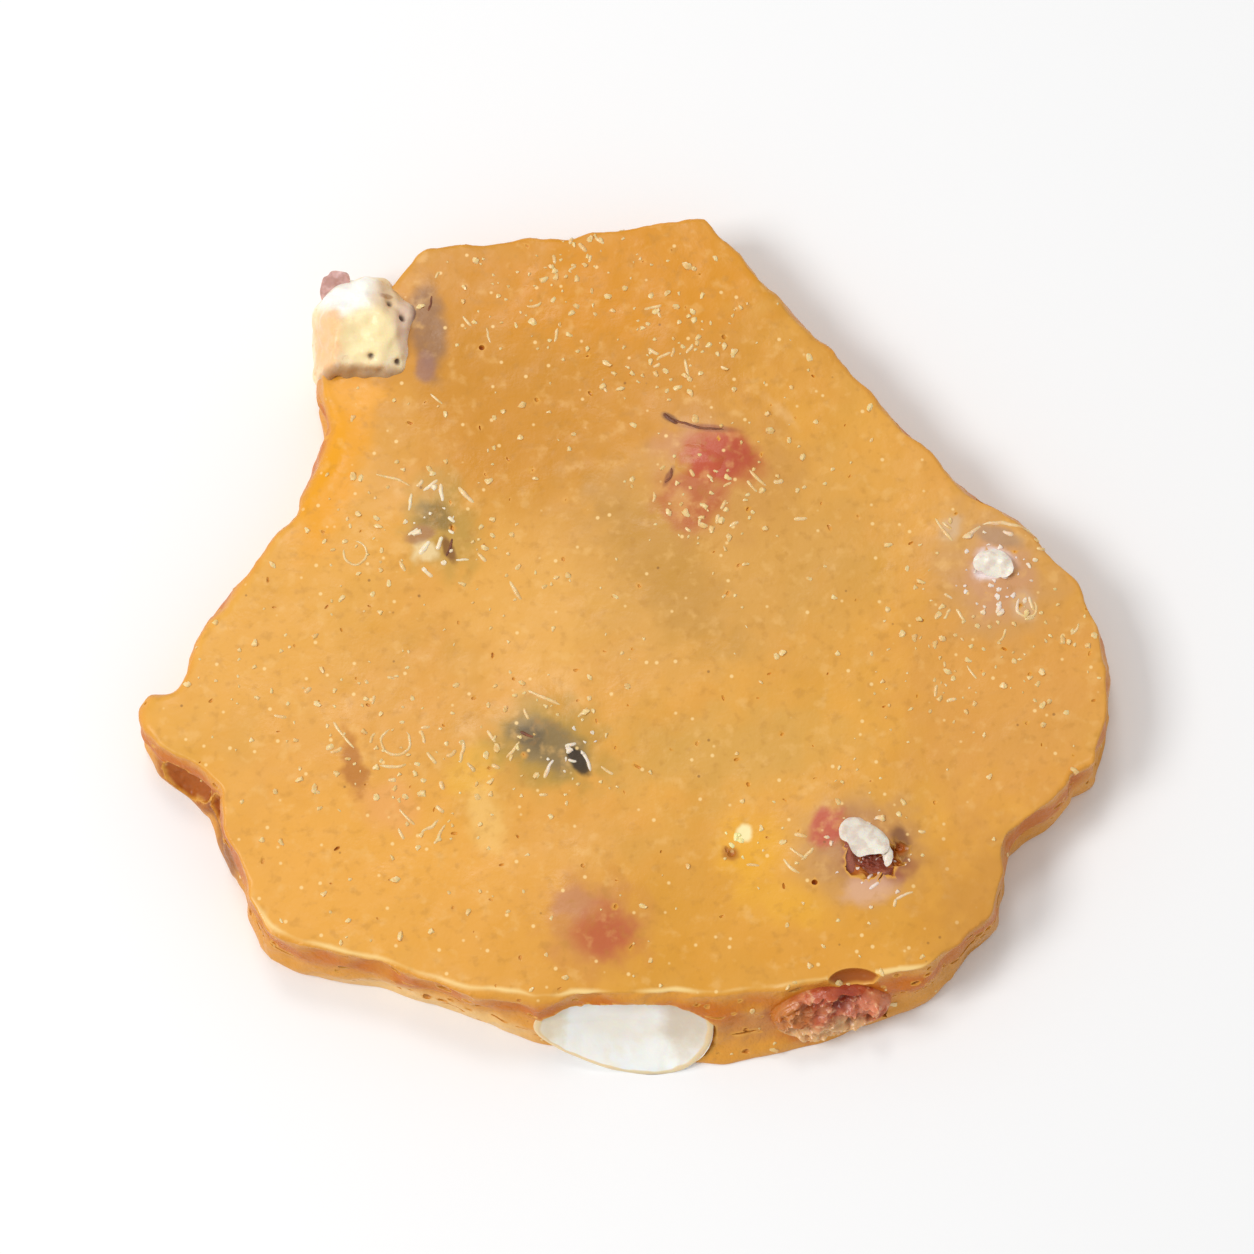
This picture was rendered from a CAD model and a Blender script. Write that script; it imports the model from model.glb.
"""Looks of a broken piece of peanut brittle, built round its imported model.

The candy slab gets a poured face, broken walls with burst bubbles, and stains where kernels lie
under the glaze. Six kernels are set in it, and scraps of skin, sugar specks and the rims of burst
bubbles lie on it. Sizes are millimetres in the slab's own layout, and meshes are in metres.
"""

import logging
import math
from collections.abc import Iterable, Sequence
from dataclasses import dataclass, field
from enum import Enum
from typing import NamedTuple

import bmesh
import bpy
import numpy as np
from mathutils import Euler, Matrix, Vector, kdtree, noise
from mathutils.bvhtree import BVHTree
from mathutils.geometry import delaunay_2d_cdt


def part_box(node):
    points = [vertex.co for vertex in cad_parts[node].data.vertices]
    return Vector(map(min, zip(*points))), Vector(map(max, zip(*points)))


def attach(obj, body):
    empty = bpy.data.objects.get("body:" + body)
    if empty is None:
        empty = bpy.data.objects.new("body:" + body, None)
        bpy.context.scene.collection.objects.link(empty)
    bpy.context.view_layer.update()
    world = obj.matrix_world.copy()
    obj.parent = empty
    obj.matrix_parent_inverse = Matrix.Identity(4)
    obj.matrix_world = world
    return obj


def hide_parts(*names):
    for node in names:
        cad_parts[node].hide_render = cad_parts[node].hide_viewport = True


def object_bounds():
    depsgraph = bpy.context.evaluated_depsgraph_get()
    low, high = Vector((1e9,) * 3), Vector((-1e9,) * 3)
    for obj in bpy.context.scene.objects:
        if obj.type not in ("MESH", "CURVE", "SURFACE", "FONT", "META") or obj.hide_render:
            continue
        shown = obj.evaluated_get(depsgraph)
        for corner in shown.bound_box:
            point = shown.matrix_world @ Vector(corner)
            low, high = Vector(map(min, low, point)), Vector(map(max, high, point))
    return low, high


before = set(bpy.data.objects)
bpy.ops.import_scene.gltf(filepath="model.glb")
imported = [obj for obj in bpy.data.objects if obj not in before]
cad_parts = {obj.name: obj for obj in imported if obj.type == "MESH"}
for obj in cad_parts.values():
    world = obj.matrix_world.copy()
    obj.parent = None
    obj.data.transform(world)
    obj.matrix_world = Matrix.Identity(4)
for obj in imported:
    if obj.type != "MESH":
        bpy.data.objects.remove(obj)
cad_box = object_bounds()

MM = 0.001
BODY = "root"

log = logging.getLogger("brittle")


class Point(NamedTuple):
    """A place in the slab's layout, or three sizes, in millimetres. Turns are in degrees."""

    x: float
    y: float
    z: float = 0.0


class Slot(Enum):
    """The record's material slots."""

    CANDY = "candy"
    BLANCHED = "blanched_kernel"
    RED_SKIN = "red_skin_kernel"


class Mark(Enum):
    """What the meshes carry at each point for their trees and materials."""

    WALL = "wall"
    LEVEL = "level"
    RIM = "rim"
    LIP = "lip"
    FREE = "free"
    PIT = "pit"
    DEEP = "deep"
    RIDGE = "ridge"
    CROWD = "crowd"


class Layer(Enum):
    """Colours that the meshes carry at each point, with how fully they cover."""

    FACE = "face_stains"
    WALL = "wall_stains"

    @property
    def cover(self) -> str:
        """The name under which a mesh holds how fully the layer covers."""
        return f"{self.value}_cover"


def linear(colour: str) -> tuple[float, float, float, float]:
    """Turns an sRGB hex colour to linear light.

    Args:
        colour: The colour, as "#rrggbb".

    Returns:
        Red, green, blue and an alpha of 1.
    """
    channels = [int(colour[start : start + 2], 16) / 255 for start in (1, 3, 5)]
    lit = [c / 12.92 if c <= 0.04045 else ((c + 0.055) / 1.055) ** 2.4 for c in channels]
    return lit[0], lit[1], lit[2], 1.0


class Graph:
    """A node tree, and the one way to add a node to it."""

    def __init__(self, tree: bpy.types.NodeTree) -> None:
        """Works on this tree."""
        self.tree = tree

    def add(
        self, kind: str, inputs: dict[int | str, object] | None = None, **settings: object
    ) -> bpy.types.Node:
        """Adds a node with its settings and links.

        Args:
            kind: Blender's name for the node's type.
            inputs: For inputs by name or number a value, a socket, or a node for its first output.
            settings: The node's own properties.

        Returns:
            The new node.
        """
        node = self.tree.nodes.new(kind)
        for name, value in settings.items():
            setattr(node, name, value)
        for key, value in (inputs or {}).items():
            if isinstance(value, bpy.types.Node):
                value = value.outputs[0]
            if isinstance(value, bpy.types.NodeSocket):
                self.tree.links.new(value, node.inputs[key])
            else:
                node.inputs[key].default_value = value
        return node


def wave(place: Sequence[float], length: float, seed: float = 0.0) -> float:
    """Smooth noise from -1 to 1, with bumps about this long."""
    return noise.noise(Vector((place[0], place[1], place[2] + seed)) / length)


def smooth_step(low: float, high: float, value: float) -> float:
    """Rises smoothly from 0 at low to 1 at high."""
    share = min(1.0, max(0.0, (value - low) / (high - low)))
    return share * share * (3 - 2 * share)


def make_object(name: str, mesh: bpy.types.Mesh) -> bpy.types.Object:
    """Puts a mesh in the scene as an object at the origin."""
    made = bpy.data.objects.new(name, mesh)
    bpy.context.scene.collection.objects.link(made)
    return made


def make_plain(obj: bpy.types.Object) -> None:
    """Replaces an object's mesh by what its modifiers make of it, and removes them."""
    bpy.context.view_layer.update()
    graph = bpy.context.evaluated_depsgraph_get()
    made = bpy.data.meshes.new_from_object(
        obj.evaluated_get(graph), preserve_all_data_layers=True, depsgraph=graph
    )
    obj.modifiers.clear()
    old = obj.data
    obj.data = made
    bpy.data.meshes.remove(old)


def set_marks(mesh: bpy.types.Mesh, marks: dict[Mark, Sequence[float]]) -> None:
    """Stores a number at every vertex under each mark's name."""
    for mark, values in marks.items():
        attribute = mesh.attributes.new(mark.value, "FLOAT", "POINT")
        attribute.data.foreach_set("value", np.asarray(values, np.float32))


def hand_over(piece: bpy.types.Object, slot: Slot, *nodes: str) -> None:
    """Makes a finished piece ride with the part, and stand for its CAD nodes.

    Args:
        piece: The finished mesh.
        slot: The record's material slot that it takes its finish from.
        nodes: The CAD nodes that it stands for.
    """
    piece.data.shade_smooth()
    piece.data.set_sharp_from_angle(angle=math.radians(50))
    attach(piece, BODY)
    if nodes:
        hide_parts(*nodes)
    triangles = sum(len(face.vertices) - 2 for face in piece.data.polygons)
    log.info("%s: %d triangles", piece.name, triangles)


class Recipe(Graph):
    """A Geometry Nodes tree with named sizes, run once on an object and left as a plain mesh."""

    def __init__(self, name: str, sizes: dict[str, float]) -> None:
        """Makes the tree with its geometry sockets, and one input for each size in metres."""
        super().__init__(bpy.data.node_groups.new(name, "GeometryNodeTree"))
        self.sizes = sizes
        sockets = self.tree.interface
        sockets.new_socket("Geometry", in_out="INPUT", socket_type="NodeSocketGeometry")
        for label in sizes:
            sockets.new_socket(label, in_out="INPUT", socket_type="NodeSocketFloat")
        sockets.new_socket("Geometry", in_out="OUTPUT", socket_type="NodeSocketGeometry")
        self.inputs = self.add("NodeGroupInput").outputs

    def lumps(self, count: int, subdivisions: int, roughness: float) -> bpy.types.NodeSocket:
        """Adds lumpy balls of radius 1, each its own instance, for a random pick.

        Args:
            count: How many unlike balls.
            subdivisions: How finely each is divided.
            roughness: How far their surfaces wander, against their radius.

        Returns:
            The socket with the balls.
        """
        picked = self.add("GeometryNodeJoinGeometry")
        place = self.add("GeometryNodeInputPosition").outputs[0]
        ball = self.add("GeometryNodeMeshIcoSphere", {"Radius": 1.0, "Subdivisions": subdivisions})
        for number in range(count):
            away = {0: place, 1: (9.0 * number, 0, 0)}
            apart = self.add("ShaderNodeVectorMath", away, operation="ADD").outputs[0]
            bumps = self.add("ShaderNodeTexNoise", {"Vector": apart, "Scale": 0.9, "Detail": 2.0})
            off = {0: bumps.outputs["Color"], 1: (0.5, 0.5, 0.5)}
            centred = self.add("ShaderNodeVectorMath", off, operation="SUBTRACT").outputs[0]
            pull = {0: centred, "Scale": 2 * roughness}
            pulled = self.add("ShaderNodeVectorMath", pull, operation="SCALE").outputs[0]
            moved = {"Geometry": ball, "Offset": pulled}
            lump = self.add("GeometryNodeSetPosition", moved)
            whole = self.add("GeometryNodeGeometryToInstance", {0: lump})
            self.tree.links.new(whole.outputs[0], picked.inputs[0])
        return picked.outputs[0]

    def finish(self, geometry: bpy.types.NodeSocket, material: bpy.types.Material) -> None:
        """Ends the tree in real geometry with its material."""
        real = self.add("GeometryNodeRealizeInstances", {"Geometry": geometry})
        dressed = self.add("GeometryNodeSetMaterial", {"Geometry": real, "Material": material})
        self.add("NodeGroupOutput", {"Geometry": dressed})

    def apply_to(self, obj: bpy.types.Object) -> None:
        """Runs the tree on an object with this recipe's sizes."""
        modifier = obj.modifiers.new(self.tree.name, "NODES")
        modifier.node_group = self.tree
        for item in self.tree.interface.items_tree:
            if item.in_out == "INPUT" and item.name in self.sizes:
                modifier[item.identifier] = self.sizes[item.name]
        make_plain(obj)


# ----------------------------------------------------------------------------------------------
# Finishes
# ----------------------------------------------------------------------------------------------


class Mottle(NamedTuple):
    """Cloudy patches of one colour, spread where noise of this length lies in a range."""

    colour: str
    length: float
    low: float
    high: float
    strength: float
    detail: float = 3.0


class Stain(NamedTuple):
    """A ragged patch of colour round a place, such as a kernel that shows through the glaze."""

    middle: Point
    radii: Point
    turn: float
    colour: str
    strength: float
    # The share of its radius over which the colour fades, half of it outside.
    softness: float = 0.6
    # How far its edge wanders, in millimetres.
    raggedness: float = 0.7

    def spread(self) -> float:
        """How far its edge wanders, as a share of its radius."""
        return 4 * self.raggedness / (self.radii.x + self.radii.y)

    def edges(self) -> tuple[float, float]:
        """Where the colour starts and where it is full, as shares of its radius."""
        outer = 1 + self.spread() + self.softness / 2
        return outer, outer - self.softness

    def cover(self, places: np.ndarray, wander: np.ndarray) -> np.ndarray:
        """How fully it covers each place.

        Args:
            places: Places in the layout, one to a row.
            wander: Noise between 0 and 1 at each place.

        Returns:
            A share of 1 for each place.
        """
        turning = np.array(Matrix.Rotation(math.radians(self.turn), 3, "Z"))
        fitted = (places - np.array(self.middle)) @ turning / np.array(self.radii)
        ragged = np.linalg.norm(fitted, axis=1) + 2 * self.spread() * wander
        outer, inner = self.edges()
        share = np.clip((outer - ragged) / (outer - inner), 0.0, 1.0)
        return self.strength * share * share * (3 - 2 * share)


def stain_points(mesh: bpy.types.Mesh, layer: Layer, stains: Iterable[Stain], shift: Vector) -> None:
    """Paints stains on a mesh's own points, as a material reads them fastest.

    Args:
        mesh: The mesh, fine enough for the smallest of them.
        layer: The layer that takes them.
        stains: The stains, from the lowest up.
        shift: From the slab's layout to the part's frame, in millimetres.
    """
    flat = np.empty(3 * len(mesh.vertices))
    mesh.vertices.foreach_get("co", flat)
    places = flat.reshape(-1, 3) / MM - np.array(shift)
    wander = np.array([0.5 + 0.35 * wave(place, 1.4) + 0.2 * wave(place, 0.6) for place in places])
    colour = np.zeros_like(places)
    covered = np.zeros(len(places))
    for stain in stains:
        share = stain.cover(places, wander)
        colour += share[:, None] * (np.array(linear(stain.colour)[:3]) - colour)
        covered += share * (1 - covered)
    # Faces cut later have neither, so they stay bare.
    painted = mesh.attributes.new(layer.value, "FLOAT_VECTOR", "POINT")
    painted.data.foreach_set("vector", colour.ravel())
    cover = mesh.attributes.new(layer.cover, "FLOAT", "POINT")
    cover.data.foreach_set("value", covered)


class Tint(NamedTuple):
    """A colour laid on as a mark of the mesh rises through a range."""

    mark: Mark
    low: float
    high: float
    colour: str
    strength: float


class Dots(NamedTuple):
    """Small round dots of one colour, one to a cell."""

    colour: str
    cell: float
    radius: float
    strength: float


class Grain(NamedTuple):
    """Fine bumps of one length and height, over the whole surface or where a mark is."""

    length: float
    height: float
    mark: Mark | None = None


class Paint(Graph):
    """A material's colour, laid on in layers from the ground up, with its gloss and its grain."""

    def __init__(self, name: str, ground: str, shift: Vector) -> None:
        """Starts a material from its ground colour.

        Args:
            name: The material's name.
            ground: The colour under all layers.
            shift: From the slab's layout to the part's frame, in millimetres.
        """
        self.material = bpy.data.materials.new(name)
        self.material.use_nodes = True
        super().__init__(self.material.node_tree)
        self.shader = self.tree.nodes["Principled BSDF"]
        self.place = self.add("ShaderNodeTexCoord").outputs["Object"]
        self.shift = shift
        self.colour: object = linear(ground)
        self.wander = self.add("ShaderNodeTexNoise", self.bumps(1.4)).outputs["Fac"]
        self.turned_places: dict[float, bpy.types.NodeSocket] = {0: self.place}

    def bumps(self, length: float, detail: float = 3.0) -> dict[int | str, object]:
        """What a noise node needs for bumps of this many millimetres."""
        return {"Vector": self.place, "Scale": 1 / (length * MM), "Detail": detail}

    def lay(
        self, value: bpy.types.NodeSocket, low: float, high: float, colour: str, strength: float
    ) -> None:
        """Lays a colour over those below, more as a value rises from low to high."""
        span = {"Value": value, "From Min": low, "From Max": high, "To Max": strength}
        share = self.add("ShaderNodeMapRange", span, interpolation_type="SMOOTHSTEP")
        layers = {0: share, 6: self.colour, 7: linear(colour)}
        self.colour = self.add("ShaderNodeMix", layers, data_type="RGBA").outputs[2]

    def mottle(self, patches: Iterable[Mottle]) -> None:
        """Lays cloudy patches."""
        for patch in patches:
            cloud = self.add("ShaderNodeTexNoise", self.bumps(patch.length, patch.detail))
            self.lay(cloud.outputs["Fac"], patch.low, patch.high, patch.colour, patch.strength)

    def turned(self, degrees: float) -> bpy.types.NodeSocket:
        """The place as seen on axes turned this far about the vertical, shared by all users."""
        if degrees not in self.turned_places:
            turn = {"Vector": self.place, "Rotation": (0, 0, -math.radians(degrees))}
            self.turned_places[degrees] = self.add("ShaderNodeMapping", turn).outputs[0]
        return self.turned_places[degrees]

    def stain(self, stains: Iterable[Stain]) -> None:
        """Lays ragged patches round their places."""
        for stain in stains:
            back = Matrix.Rotation(-math.radians(stain.turn), 3, "Z")
            middle = back @ (self.shift + Vector(stain.middle)) * MM
            shrink = [1 / (radius * MM) for radius in stain.radii]
            back_to_middle = [-at * share for at, share in zip(middle, shrink)]
            fit = {0: self.turned(stain.turn), 1: shrink, 2: back_to_middle}
            fitted = self.add("ShaderNodeVectorMath", fit, operation="MULTIPLY_ADD")
            reach = self.add("ShaderNodeVectorMath", {0: fitted}, operation="LENGTH")
            sizes = {0: self.wander, 1: 2 * stain.spread(), 2: reach.outputs["Value"]}
            ragged = self.add("ShaderNodeMath", sizes, operation="MULTIPLY_ADD")
            self.lay(ragged.outputs[0], *stain.edges(), stain.colour, stain.strength)

    def overlay(self, layer: Layer) -> None:
        """Lays the stains that the mesh carries, already thinned by their cover."""
        painted = self.add("ShaderNodeAttribute", attribute_name=layer.value)
        cover = self.add("ShaderNodeAttribute", attribute_name=layer.cover)
        share = {0: 1.0, 1: cover.outputs["Fac"]}
        rest = self.add("ShaderNodeMath", share, operation="SUBTRACT").outputs[0]
        layers = {0: self.colour, 1: rest, 2: painted.outputs["Vector"]}
        laid = self.add("ShaderNodeVectorMath", layers, operation="MULTIPLY_ADD")
        self.colour = laid.outputs[0]

    def tint(self, tints: Iterable[Tint]) -> None:
        """Lays colours by the marks of the mesh."""
        for tint in tints:
            mark = self.add("ShaderNodeAttribute", attribute_name=tint.mark.value)
            self.lay(mark.outputs["Fac"], tint.low, tint.high, tint.colour, tint.strength)

    def dot(self, dots: Iterable[Dots]) -> None:
        """Lays small round dots."""
        for kind in dots:
            sizes = {"Vector": self.place, "Scale": 1 / (kind.cell * MM)}
            cells = self.add("ShaderNodeTexVoronoi", sizes)
            radius = kind.radius / kind.cell
            distance = cells.outputs["Distance"]
            self.lay(distance, radius, 0.4 * radius, kind.colour, kind.strength)

    def gloss(self, low: float, high: float, length: float) -> None:
        """Lets the roughness drift between two values, over patches of this length."""
        cloud = self.add("ShaderNodeTexNoise", self.bumps(length))
        span = {"Value": cloud.outputs["Fac"], "From Min": 0.3, "From Max": 0.7}
        rough = self.add("ShaderNodeMapRange", span | {"To Min": low, "To Max": high})
        self.tree.links.new(rough.outputs[0], self.shader.inputs["Roughness"])

    def grain(self, grains: Iterable[Grain]) -> None:
        """Gives the surface its fine bumps, each kind on top of those before."""
        normal = self.shader.inputs["Normal"]
        for kind in grains:
            cloud = self.add("ShaderNodeTexNoise", self.bumps(kind.length))
            relief = {"Height": cloud.outputs["Fac"], "Distance": kind.height * MM}
            if kind.mark:
                mark = self.add("ShaderNodeAttribute", attribute_name=kind.mark.value)
                relief["Strength"] = mark.outputs["Fac"]
            if normal.is_linked:
                relief["Normal"] = normal.links[0].from_socket
            bump = self.add("ShaderNodeBump", relief)
            self.tree.links.new(bump.outputs[0], normal)

    def finish(self, ior: float, depth: float, share: float) -> bpy.types.Material:
        """Joins the colour to the shader and lets light into the surface.

        Args:
            ior: The index of refraction.
            depth: How far light goes in, in millimetres.
            share: How much of the light goes in.

        Returns:
            The finished material.
        """
        self.tree.links.new(self.colour, self.shader.inputs["Base Color"])
        self.shader.inputs["IOR"].default_value = ior
        self.shader.inputs["Subsurface Weight"].default_value = share
        self.shader.inputs["Subsurface Radius"].default_value = (1.0, 0.5, 0.2)
        self.shader.inputs["Subsurface Scale"].default_value = depth * MM
        return self.material


@dataclass(frozen=True)
class PouredCandy:
    """Boiled sugar and butter, beaten with soda and poured: opaque honey with a satin skin.

    It gives the eye a warm cloudy ground, a paler and rougher break, and soft stains wherever a
    kernel lies just under the glaze.
    """

    honey: str = "#E4A449"
    straw: str = "#E39C3A"
    # Fine crazing takes part of the shine off.
    shine: float = 0.33
    # Broad drifts of the pour first, then the fine ones.
    drifts: tuple[Mottle, ...] = (
        Mottle("#EBA93C", 17.0, 0.38, 0.66, 0.6, 2.0),
        Mottle("#CE983E", 7.5, 0.42, 0.7, 0.45),
        Mottle("#E09A34", 3.4, 0.44, 0.72, 0.4),
    )
    # Fine clouding over everything in the face.
    speckle: tuple[Mottle, ...] = (
        Mottle("#BC8230", 0.9, 0.52, 0.74, 0.35, 3.0),
        Mottle("#F2BE70", 1.2, 0.54, 0.76, 0.4, 3.0),
    )
    zones: tuple[Stain, ...] = (
        Stain(Point(-6, 18, 6), Point(17, 13, 30), 0, "#CC8618", 0.75, 0.9, 2.0),
        Stain(Point(1, 25, 6), Point(11, 5, 30), 6, "#E0920E", 0.65, 0.9, 1.6),
        Stain(Point(-25, 1, 6), Point(8, 14, 30), -28, "#E9AB4A", 0.6, 0.9, 2.0),
        Stain(Point(-18, -23, 6), Point(12, 7, 30), -12, "#EEAA44", 0.7, 0.9, 2.0),
        Stain(Point(6, -27, 6), Point(19, 5, 30), 0, "#DE9A30", 0.6, 0.9, 2.0),
        Stain(Point(6, 2, 6), Point(14, 9, 30), 10, "#D5A04E", 0.55, 0.9, 2.0),
        Stain(Point(-8, -1, 6), Point(5, 7, 30), 25, "#EFB254", 0.5, 0.9, 1.6),
        Stain(Point(29, -7, 6), Point(8, 12, 30), 0, "#DC9A4A", 0.6, 0.9, 2.0),
        Stain(Point(3.2, 1.6, 6), Point(8, 3.0, 30), -52, "#BC8838", 0.5, 0.9, 1.2),
        Stain(Point(-22.2, 10, 6), Point(2.3, 7.5, 30), -14, "#EFA008", 0.85, 0.8, 0.9),
        Stain(Point(-17.5, 12.0, 6), Point(1.2, 5.0, 30), -10, "#D99A3A", 0.5, 0.9, 0.6),
        Stain(Point(12.5, 13.8, 6), Point(1.8, 0.3, 30), -45, "#F1C283", 0.4, 1.0, 0.4),
        Stain(Point(-11.0, -14.6, 6), Point(1.9, 1.7, 30), 0, "#EFB443", 0.7, 0.9, 0.7),
        Stain(Point(-10.2, -18.8, 6), Point(1.5, 2.2, 30), 15, "#F8CB78", 0.5, 1.0, 0.7),
        Stain(Point(8.0, -13.0, 6), Point(9.0, 3.0, 30), 8, "#D2A452", 0.45, 1.0, 1.6),
    )
    under_glaze: tuple[Stain, ...] = (
        # The red kernel in the upper half.
        Stain(Point(7.4, 9.2, 7), Point(5.6, 5.2, 6), 0, "#D0944C", 0.6, 0.9, 1.0),
        Stain(Point(4.4, 11.2, 7), Point(2.2, 1.3, 6), -10, "#CC8A58", 0.6, 0.8, 0.5),
        Stain(Point(5.2, 6.9, 7), Point(2.5, 2.3, 6), 0, "#C0683A", 0.9, 0.7, 0.5),
        Stain(Point(4.4, 6.6, 7), Point(0.9, 1.0, 6), 0, "#DB9E58", 0.8, 0.8, 0.3),
        Stain(Point(7.6, 10.2, 7), Point(2.8, 2.1, 6), -8, "#C45638", 0.97, 0.85, 0.5),
        Stain(Point(9.0, 9.9, 7), Point(1.4, 1.5, 6), -20, "#B84C2C", 0.7, 0.8, 0.4),
        # The kernel by the right edge.
        Stain(Point(28.6, 0.8, 7), Point(4.6, 5.4, 6), 20, "#D09C5C", 0.7, 0.9, 1.0),
        Stain(Point(28.6, 0.6, 7), Point(2.7, 2.9, 6), 20, "#D29A70", 0.75, 0.9, 0.7),
        Stain(Point(25.2, 4.6, 7), Point(0.9, 1.3, 6), 25, "#D6B48C", 0.75, 0.8, 0.4),
        Stain(Point(28.4, 1.6, 7), Point(1.6, 1.3, 6), -8, "#F1E0DE", 0.97, 0.4, 0.4),
        Stain(Point(30.6, -1.7, 7), Point(0.9, 1.1, 6), 10, "#D9B48C", 0.6, 0.8, 0.3),
        # The torn kernel low on the right.
        Stain(Point(17.6, -20.9, 7), Point(4.9, 4.2, 6), 0, "#CA9656", 0.7, 0.9, 1.0),
        Stain(Point(18.2, -20.9, 7), Point(3.4, 3.2, 6), 0, "#B07850", 0.65, 0.8, 0.8),
        Stain(Point(15.4, -19.1, 7), Point(1.2, 1.4, 6), -30, "#C4563F", 0.9, 0.6, 0.4),
        Stain(Point(18.9, -21.8, 7), Point(2.3, 1.9, 6), -15, "#9A5240", 0.85, 0.5, 0.7),
        Stain(Point(18.4, -24.0, 7), Point(2.0, 1.1, 6), 0, "#E2B08C", 0.8, 0.9, 0.5),
        # The burst bubble beside it.
        Stain(Point(9.8, -20.6, 7), Point(2.5, 2.4, 6), 0, "#F0AE2C", 0.75, 1.0, 0.6),
        Stain(Point(12.0, -25.0, 7), Point(3.2, 1.7, 6), -15, "#EEAF34", 0.6, 1.0, 0.7),
        # The blurred kernel by the front edge.
        Stain(Point(-2.0, -26.7, 7), Point(3.6, 3.4, 4), -15, "#CC8848", 0.8, 0.9, 0.9),
        Stain(Point(-3.6, -25.2, 7), Point(1.5, 1.1, 4), -15, "#C4845C", 0.6, 0.9, 0.5),
        Stain(Point(-1.1, -27.4, 7), Point(2.2, 2.0, 4), -15, "#C05E3A", 0.85, 0.9, 0.5),
        # The dark skin under the glaze, left of the middle.
        Stain(Point(-5.6, -12.6, 7), Point(4.1, 3.3, 6), -12, "#AC8C3C", 0.75, 0.9, 0.9),
        Stain(Point(-5.7, -12.5, 7), Point(3.1, 1.7, 6), -22, "#86704A", 0.85, 0.7, 0.7),
        Stain(Point(-7.1, -12.0, 7), Point(1.3, 0.85, 6), -20, "#64543A", 0.75, 0.7, 0.5),
        # The buried kernel above it.
        Stain(Point(-13.8, 4.7, 7), Point(2.7, 3.7, 6), 12, "#BC9646", 0.75, 0.9, 0.9),
        Stain(Point(-14.4, 5.6, 7), Point(1.2, 1.2, 6), 0, "#8E7034", 0.85, 0.7, 0.5),
        Stain(Point(-15.0, 2.7, 7), Point(0.9, 0.9, 6), 0, "#F4D8A0", 0.8, 0.7, 0.5),
        # Scorched drifts and loose skin elsewhere.
        Stain(Point(-17.6, -17.4, 7), Point(2.2, 2.0, 6), 0, "#EBA660", 0.6, 0.9, 0.6),
        Stain(Point(-15.1, 20.9, 7), Point(1.3, 4.0, 6), 6, "#90684A", 0.8, 0.8, 0.5),
        Stain(Point(-20.5, 15.4, 7), Point(2.6, 1.1, 6), 0, "#F2A93A", 0.8, 0.8, 0.5),
    )
    # Those too fine for the mesh to carry.
    spots: tuple[Stain, ...] = (
        # The red kernel in the upper half.
        Stain(Point(3.6, 8.7, 7), Point(0.3, 0.9, 6), -25, "#8A4A2C", 0.75, 0.7, 0.2),
        Stain(Point(3.7, 13.4, 7), Point(0.8, 0.3, 6), -35, "#6A3C22", 0.8, 0.8, 0.2),
        Stain(Point(6.6, 12.6, 7), Point(2.2, 0.28, 6), -6, "#9A5434", 0.7, 0.9, 0.2),
        # The kernel by the right edge.
        Stain(Point(28.8, 3.9, 7), Point(1.9, 0.7, 6), -15, "#B08A6A", 0.75, 0.8, 0.4),
        # The torn kernel low on the right.
        Stain(Point(20.9, -20.6, 7), Point(0.7, 1.6, 6), 8, "#6A3C2C", 0.7, 0.8, 0.3),
        # The burst bubble beside it.
        Stain(Point(9.2, -19.5, 7), Point(0.55, 0.65, 6), 0, "#FFF0B4", 0.9, 1.0, 0.3),
        Stain(Point(8.2, -21.1, 7), Point(0.65, 0.55, 6), 0, "#B0681C", 0.8, 0.8, 0.2),
        # The dark skin under the glaze, left of the middle.
        Stain(Point(-3.3, -14.0, 7), Point(0.6, 1.2, 6), 28, "#2A1E18", 0.9, 0.6, 0.3),
        # The buried kernel above it.
        Stain(Point(-15.3, 4.0, 7), Point(1.2, 0.6, 6), 10, "#A4704E", 0.7, 0.8, 0.4),
        Stain(Point(-13.3, 2.9, 7), Point(0.4, 1.1, 6), 20, "#7C4C26", 0.8, 0.8, 0.3),
        # Scorched drifts and loose skin elsewhere.
        Stain(Point(-20.3, -14.4, 7), Point(0.8, 2.5, 6), 12, "#B46C28", 0.75, 0.9, 0.9),
        Stain(Point(-15.3, 17.6, 7), Point(0.8, 1.1, 6), 0, "#9A6E62", 0.7, 0.8, 0.3),
    )
    on_wall: tuple[Stain, ...] = (
        Stain(Point(-33.0, -14.4, 2.6), Point(3.6, 2.2, 2.4), -25, "#A9581A", 0.9, 0.7, 0.6),
        Stain(Point(-30.4, -19.5, 2.6), Point(1.6, 4.0, 2.4), 10, "#8A4718", 0.8, 0.7, 0.6),
        Stain(Point(13.5, -33.6, 3), Point(2.4, 2.6, 2.2), 0, "#B4502A", 0.85, 0.8, 0.8),
        Stain(Point(9.6, -34.2, 3), Point(3.4, 2.0, 1.6), 0, "#C28350", 0.6, 0.9, 0.8),
        Stain(Point(18.8, -31.6, 3.4), Point(1.6, 2.4, 1.8), 0, "#C4683F", 0.7, 0.8, 0.6),
        Stain(Point(30.0, -27.0, 3), Point(7, 9, 9), 30, "#C98A3A", 0.6, 0.8, 1.5),
        Stain(Point(-14.0, -31.6, 0.8), Point(10, 4, 1.5), 0, "#FFD894", 0.65, 0.8, 0.6),
    )

    def stain_mesh(self, mesh: bpy.types.Mesh, shift: Vector) -> None:
        """Paints the broad stains of the face and the wall on a mesh's points."""
        stain_points(mesh, Layer.FACE, self.zones + self.under_glaze, shift)
        stain_points(mesh, Layer.WALL, self.on_wall, shift)

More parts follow.
